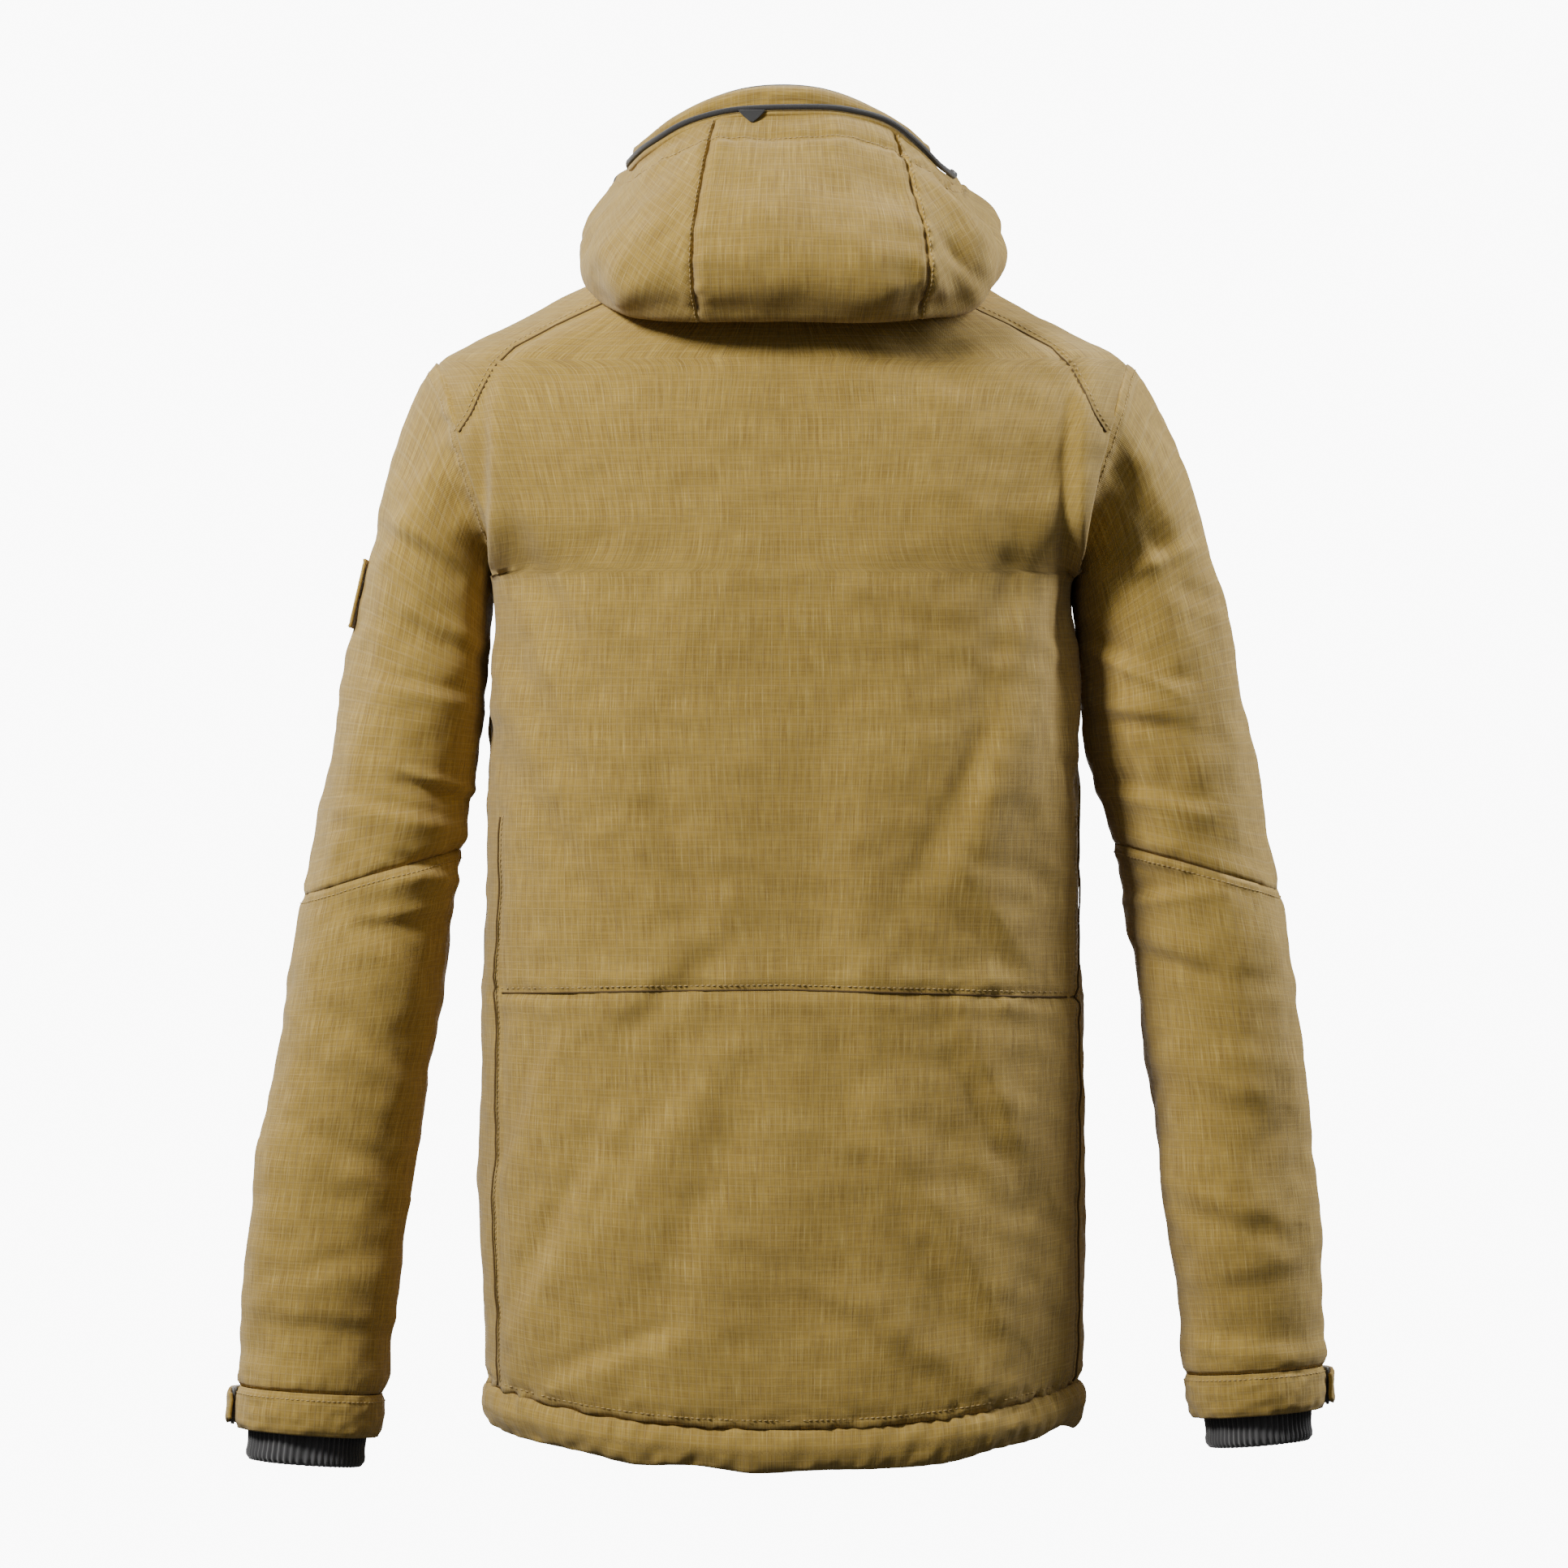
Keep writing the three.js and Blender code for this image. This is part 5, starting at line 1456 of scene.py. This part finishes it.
def sew_route(name, places, normals, body="body", blend=None):
    """Stitches along a row of a finished grid."""
    run = run_along(places)
    at = np.linspace(0, run[-1], max(3, int(run[-1] / ROUTE_PITCH)))
    p = np.stack([np.interp(at, run, places[:, k]) for k in range(3)], -1)
    n = np.stack([np.interp(at, run, normals[:, k]) for k in range(3)], -1)
    n /= np.linalg.norm(n, axis=1)[:, None]
    along = np.gradient(p, axis=0)
    along -= n * (along * n).sum(-1)[:, None]
    along /= np.linalg.norm(along, axis=1)[:, None]
    stitch_mesh(name, p, n, along, 2.4, 0.28, body, blend)


def offset_line(points, by):
    """The polyline of (x, z) moved sideways by mm."""
    points = np.array(points, float)
    run = np.gradient(points, axis=0)
    run /= np.linalg.norm(run, axis=1)[:, None]
    return points + np.stack([-run[:, 1], run[:, 0]], -1) * by


def at_depth(points, y):
    return [(x, y, z) for x, z in points]


def sew_side(name, p, seam):
    """Stitches down the side seam of the back, along one column of its grid, with a thin dark strip of painted seam
    shadow beside them.
    """
    n = body_normals(p)
    high, low = max(z for _, z in seam), min(z for _, z in seam)
    middle = int(np.argmin(np.abs(p[:, p.shape[1] // 2, 2] - (high + low) / 2)))
    column = int(np.argmin(np.abs(p[middle, :, 0] - seam[len(seam) // 2][0])))
    rows = (p[:, column, 2] < high) & (p[:, column, 2] > low)
    line, out = p[rows, column], n[rows, column]
    sew_route(f"stitch_{name}", line + out * 0.2, out)
    # painted seam shadow: a thin dark strip beside the side stitching
    obj = tube_mesh(f"joint_{name}", line + out * 0.05 + np.array([math.copysign(2.2, line[0, 0]), 0, 0]), 0.7, 6)
    dress(obj, "seam_shade", "body")


def sew_body(pieces):
    sew_side("side_left", pieces["back_grid"], SIDE_STITCH_LEFT)
    sew_side("side_right", pieces["back_grid"], SIDE_STITCH_RIGHT)
    for name, seam, by in (("shoulder_left", SHOULDER_SEAM, SEAM_ASIDE),
                           ("shoulder_right", mirrored(SHOULDER_SEAM), -SEAM_ASIDE),
                           ("cross_seam", BACK_SEAM, SEAM_ASIDE)):
        sew(f"stitch_{name}", pieces["back"], at_depth(offset_line(seam, by), BEHIND), FORWARD)
        # painted seam shadow: a thin dark strip in the groove of each seam
        seam_shadow_line(f"joint_{name}", pieces["back"], at_depth(seam, BEHIND), FORWARD)
    sew("stitch_above_hem", pieces["back"],
        [(x, BEHIND, HEM_SEAM_Z + 4.5 + float(hem_rise(x, BEHIND))) for x in np.linspace(-188, 188, 60)],
        FORWARD)
    for side in SIGN:
        sign = SIGN[side]
        line = [(sign * x, z) for x, z in FRONT_SHOULDER_SEAM]
        sew(f"stitch_front_shoulder_{side}", pieces[f"front_{side}"],
            at_depth(offset_line(line, -SEAM_ASIDE * sign), BEFORE), BACKWARD)
        sew(f"stitch_zip_{side}", pieces[f"front_{side}"],
            [(sign * 12.5, BEFORE, z) for z in np.linspace(-36, -790, 60)], BACKWARD)
        place = pocket_frame(side)
        half = POCKET_LONG / 2
        for name, x in (("a", 12.5), ("b", -12.5)):
            line = [place((x, -30, z)) for z in np.linspace(-half, half, 20)]
            sew(f"stitch_pocket_{side}_{name}", pieces[f"front_{side}"], line, BACKWARD)


# ---- stage

def area(name, place, target, size, power_w, colour=(1, 1, 1)):
    light = bpy.data.lights.new(name, "AREA")
    light.shape = "RECTANGLE"
    light.size, light.size_y = size
    light.energy = power_w
    light.color = colour
    obj = bpy.data.objects.new(name, light)
    obj.location = place
    obj.rotation_euler = (Vector(target) - Vector(place)).to_track_quat("-Z", "Y").to_euler()
    bpy.context.scene.collection.objects.link(obj)
    return obj


def build_stage():
    """A white backdrop behind the jacket as the camera sees it, and a dimmer room all round."""
    world_data = bpy.data.worlds.new("studio")
    world_data.use_nodes = True
    tree = world_data.node_tree
    background = tree.nodes["Background"]
    place = node(tree, "ShaderNodeTexCoord")
    split = tree.nodes.new("ShaderNodeSeparateXYZ")
    tree.links.new(place.outputs["Generated"], split.inputs[0])
    room = ramp(tree, split.outputs[2], [(0.0, ROOM_LOW), (1.0, ROOM_HIGH)])
    cap = ramp(tree, maths(tree, "MULTIPLY", split.outputs[1], -1.0),
               [(BACKDROP[0], (0, 0, 0)), (BACKDROP[1], (1, 1, 1))])
    tree.links.new(mix(tree, cap, room, (1, 1, 1)), background.inputs["Color"])
    strength = maths(tree, "ADD", 1.0, maths(tree, "MULTIPLY", cap, BACKDROP_LIGHT))
    tree.links.new(strength, background.inputs["Strength"])
    bpy.context.scene.world = world_data
    area("key", (2.1, 2.0, 1.7), (0.05, 0, -0.2), (0.8, 0.8), KEY_LIGHT, (1.0, 0.985, 0.96))
    area("rim_right", (-1.8, -0.30, 0.85), (-0.2, 0, -0.2), (0.5, 1.3), RIM_LIGHT)
    area("rim_left", (1.5, -1.2, 0.6), (0.25, 0, -0.3), (0.5, 1.2), RIM_LIGHT * 0.45)
    area("front_fill", (0.6, -2.6, 0.6), (0, 0, -0.3), (1.6, 1.6), FILL_LIGHT)


def build_camera():
    data = bpy.data.cameras.new("view")
    data.lens, data.sensor_width = CAMERA_LENS, 36.0
    obj = bpy.data.objects.new("view", data)
    obj.location = CAMERA_PLACE
    obj.rotation_euler = (math.radians(90), 0, math.radians(180))
    bpy.context.scene.collection.objects.link(obj)
    bpy.context.scene.camera = obj


ROOM_LOW, ROOM_HIGH, BACKDROP = (0.10, 0.10, 0.10), (0.44, 0.44, 0.44), (0.964, 0.972)
KEY_LIGHT, RIM_LIGHT, FILL_LIGHT, BACKDROP_LIGHT = 175.0, 58.0, 5.0, 9.0
CAMERA_PLACE, CAMERA_LENS = (-0.001, 6.0, -0.3705), 210.2

sewn = build_body()
build_collar()
for side_name in SIGN:
    build_sleeve(side_name)
build_patch()
build_hood()
build_front_zip()
for side_name in SIGN:
    build_pocket(side_name)
build_hang_loop()
sew_body(sewn)
build_stage()
build_camera()
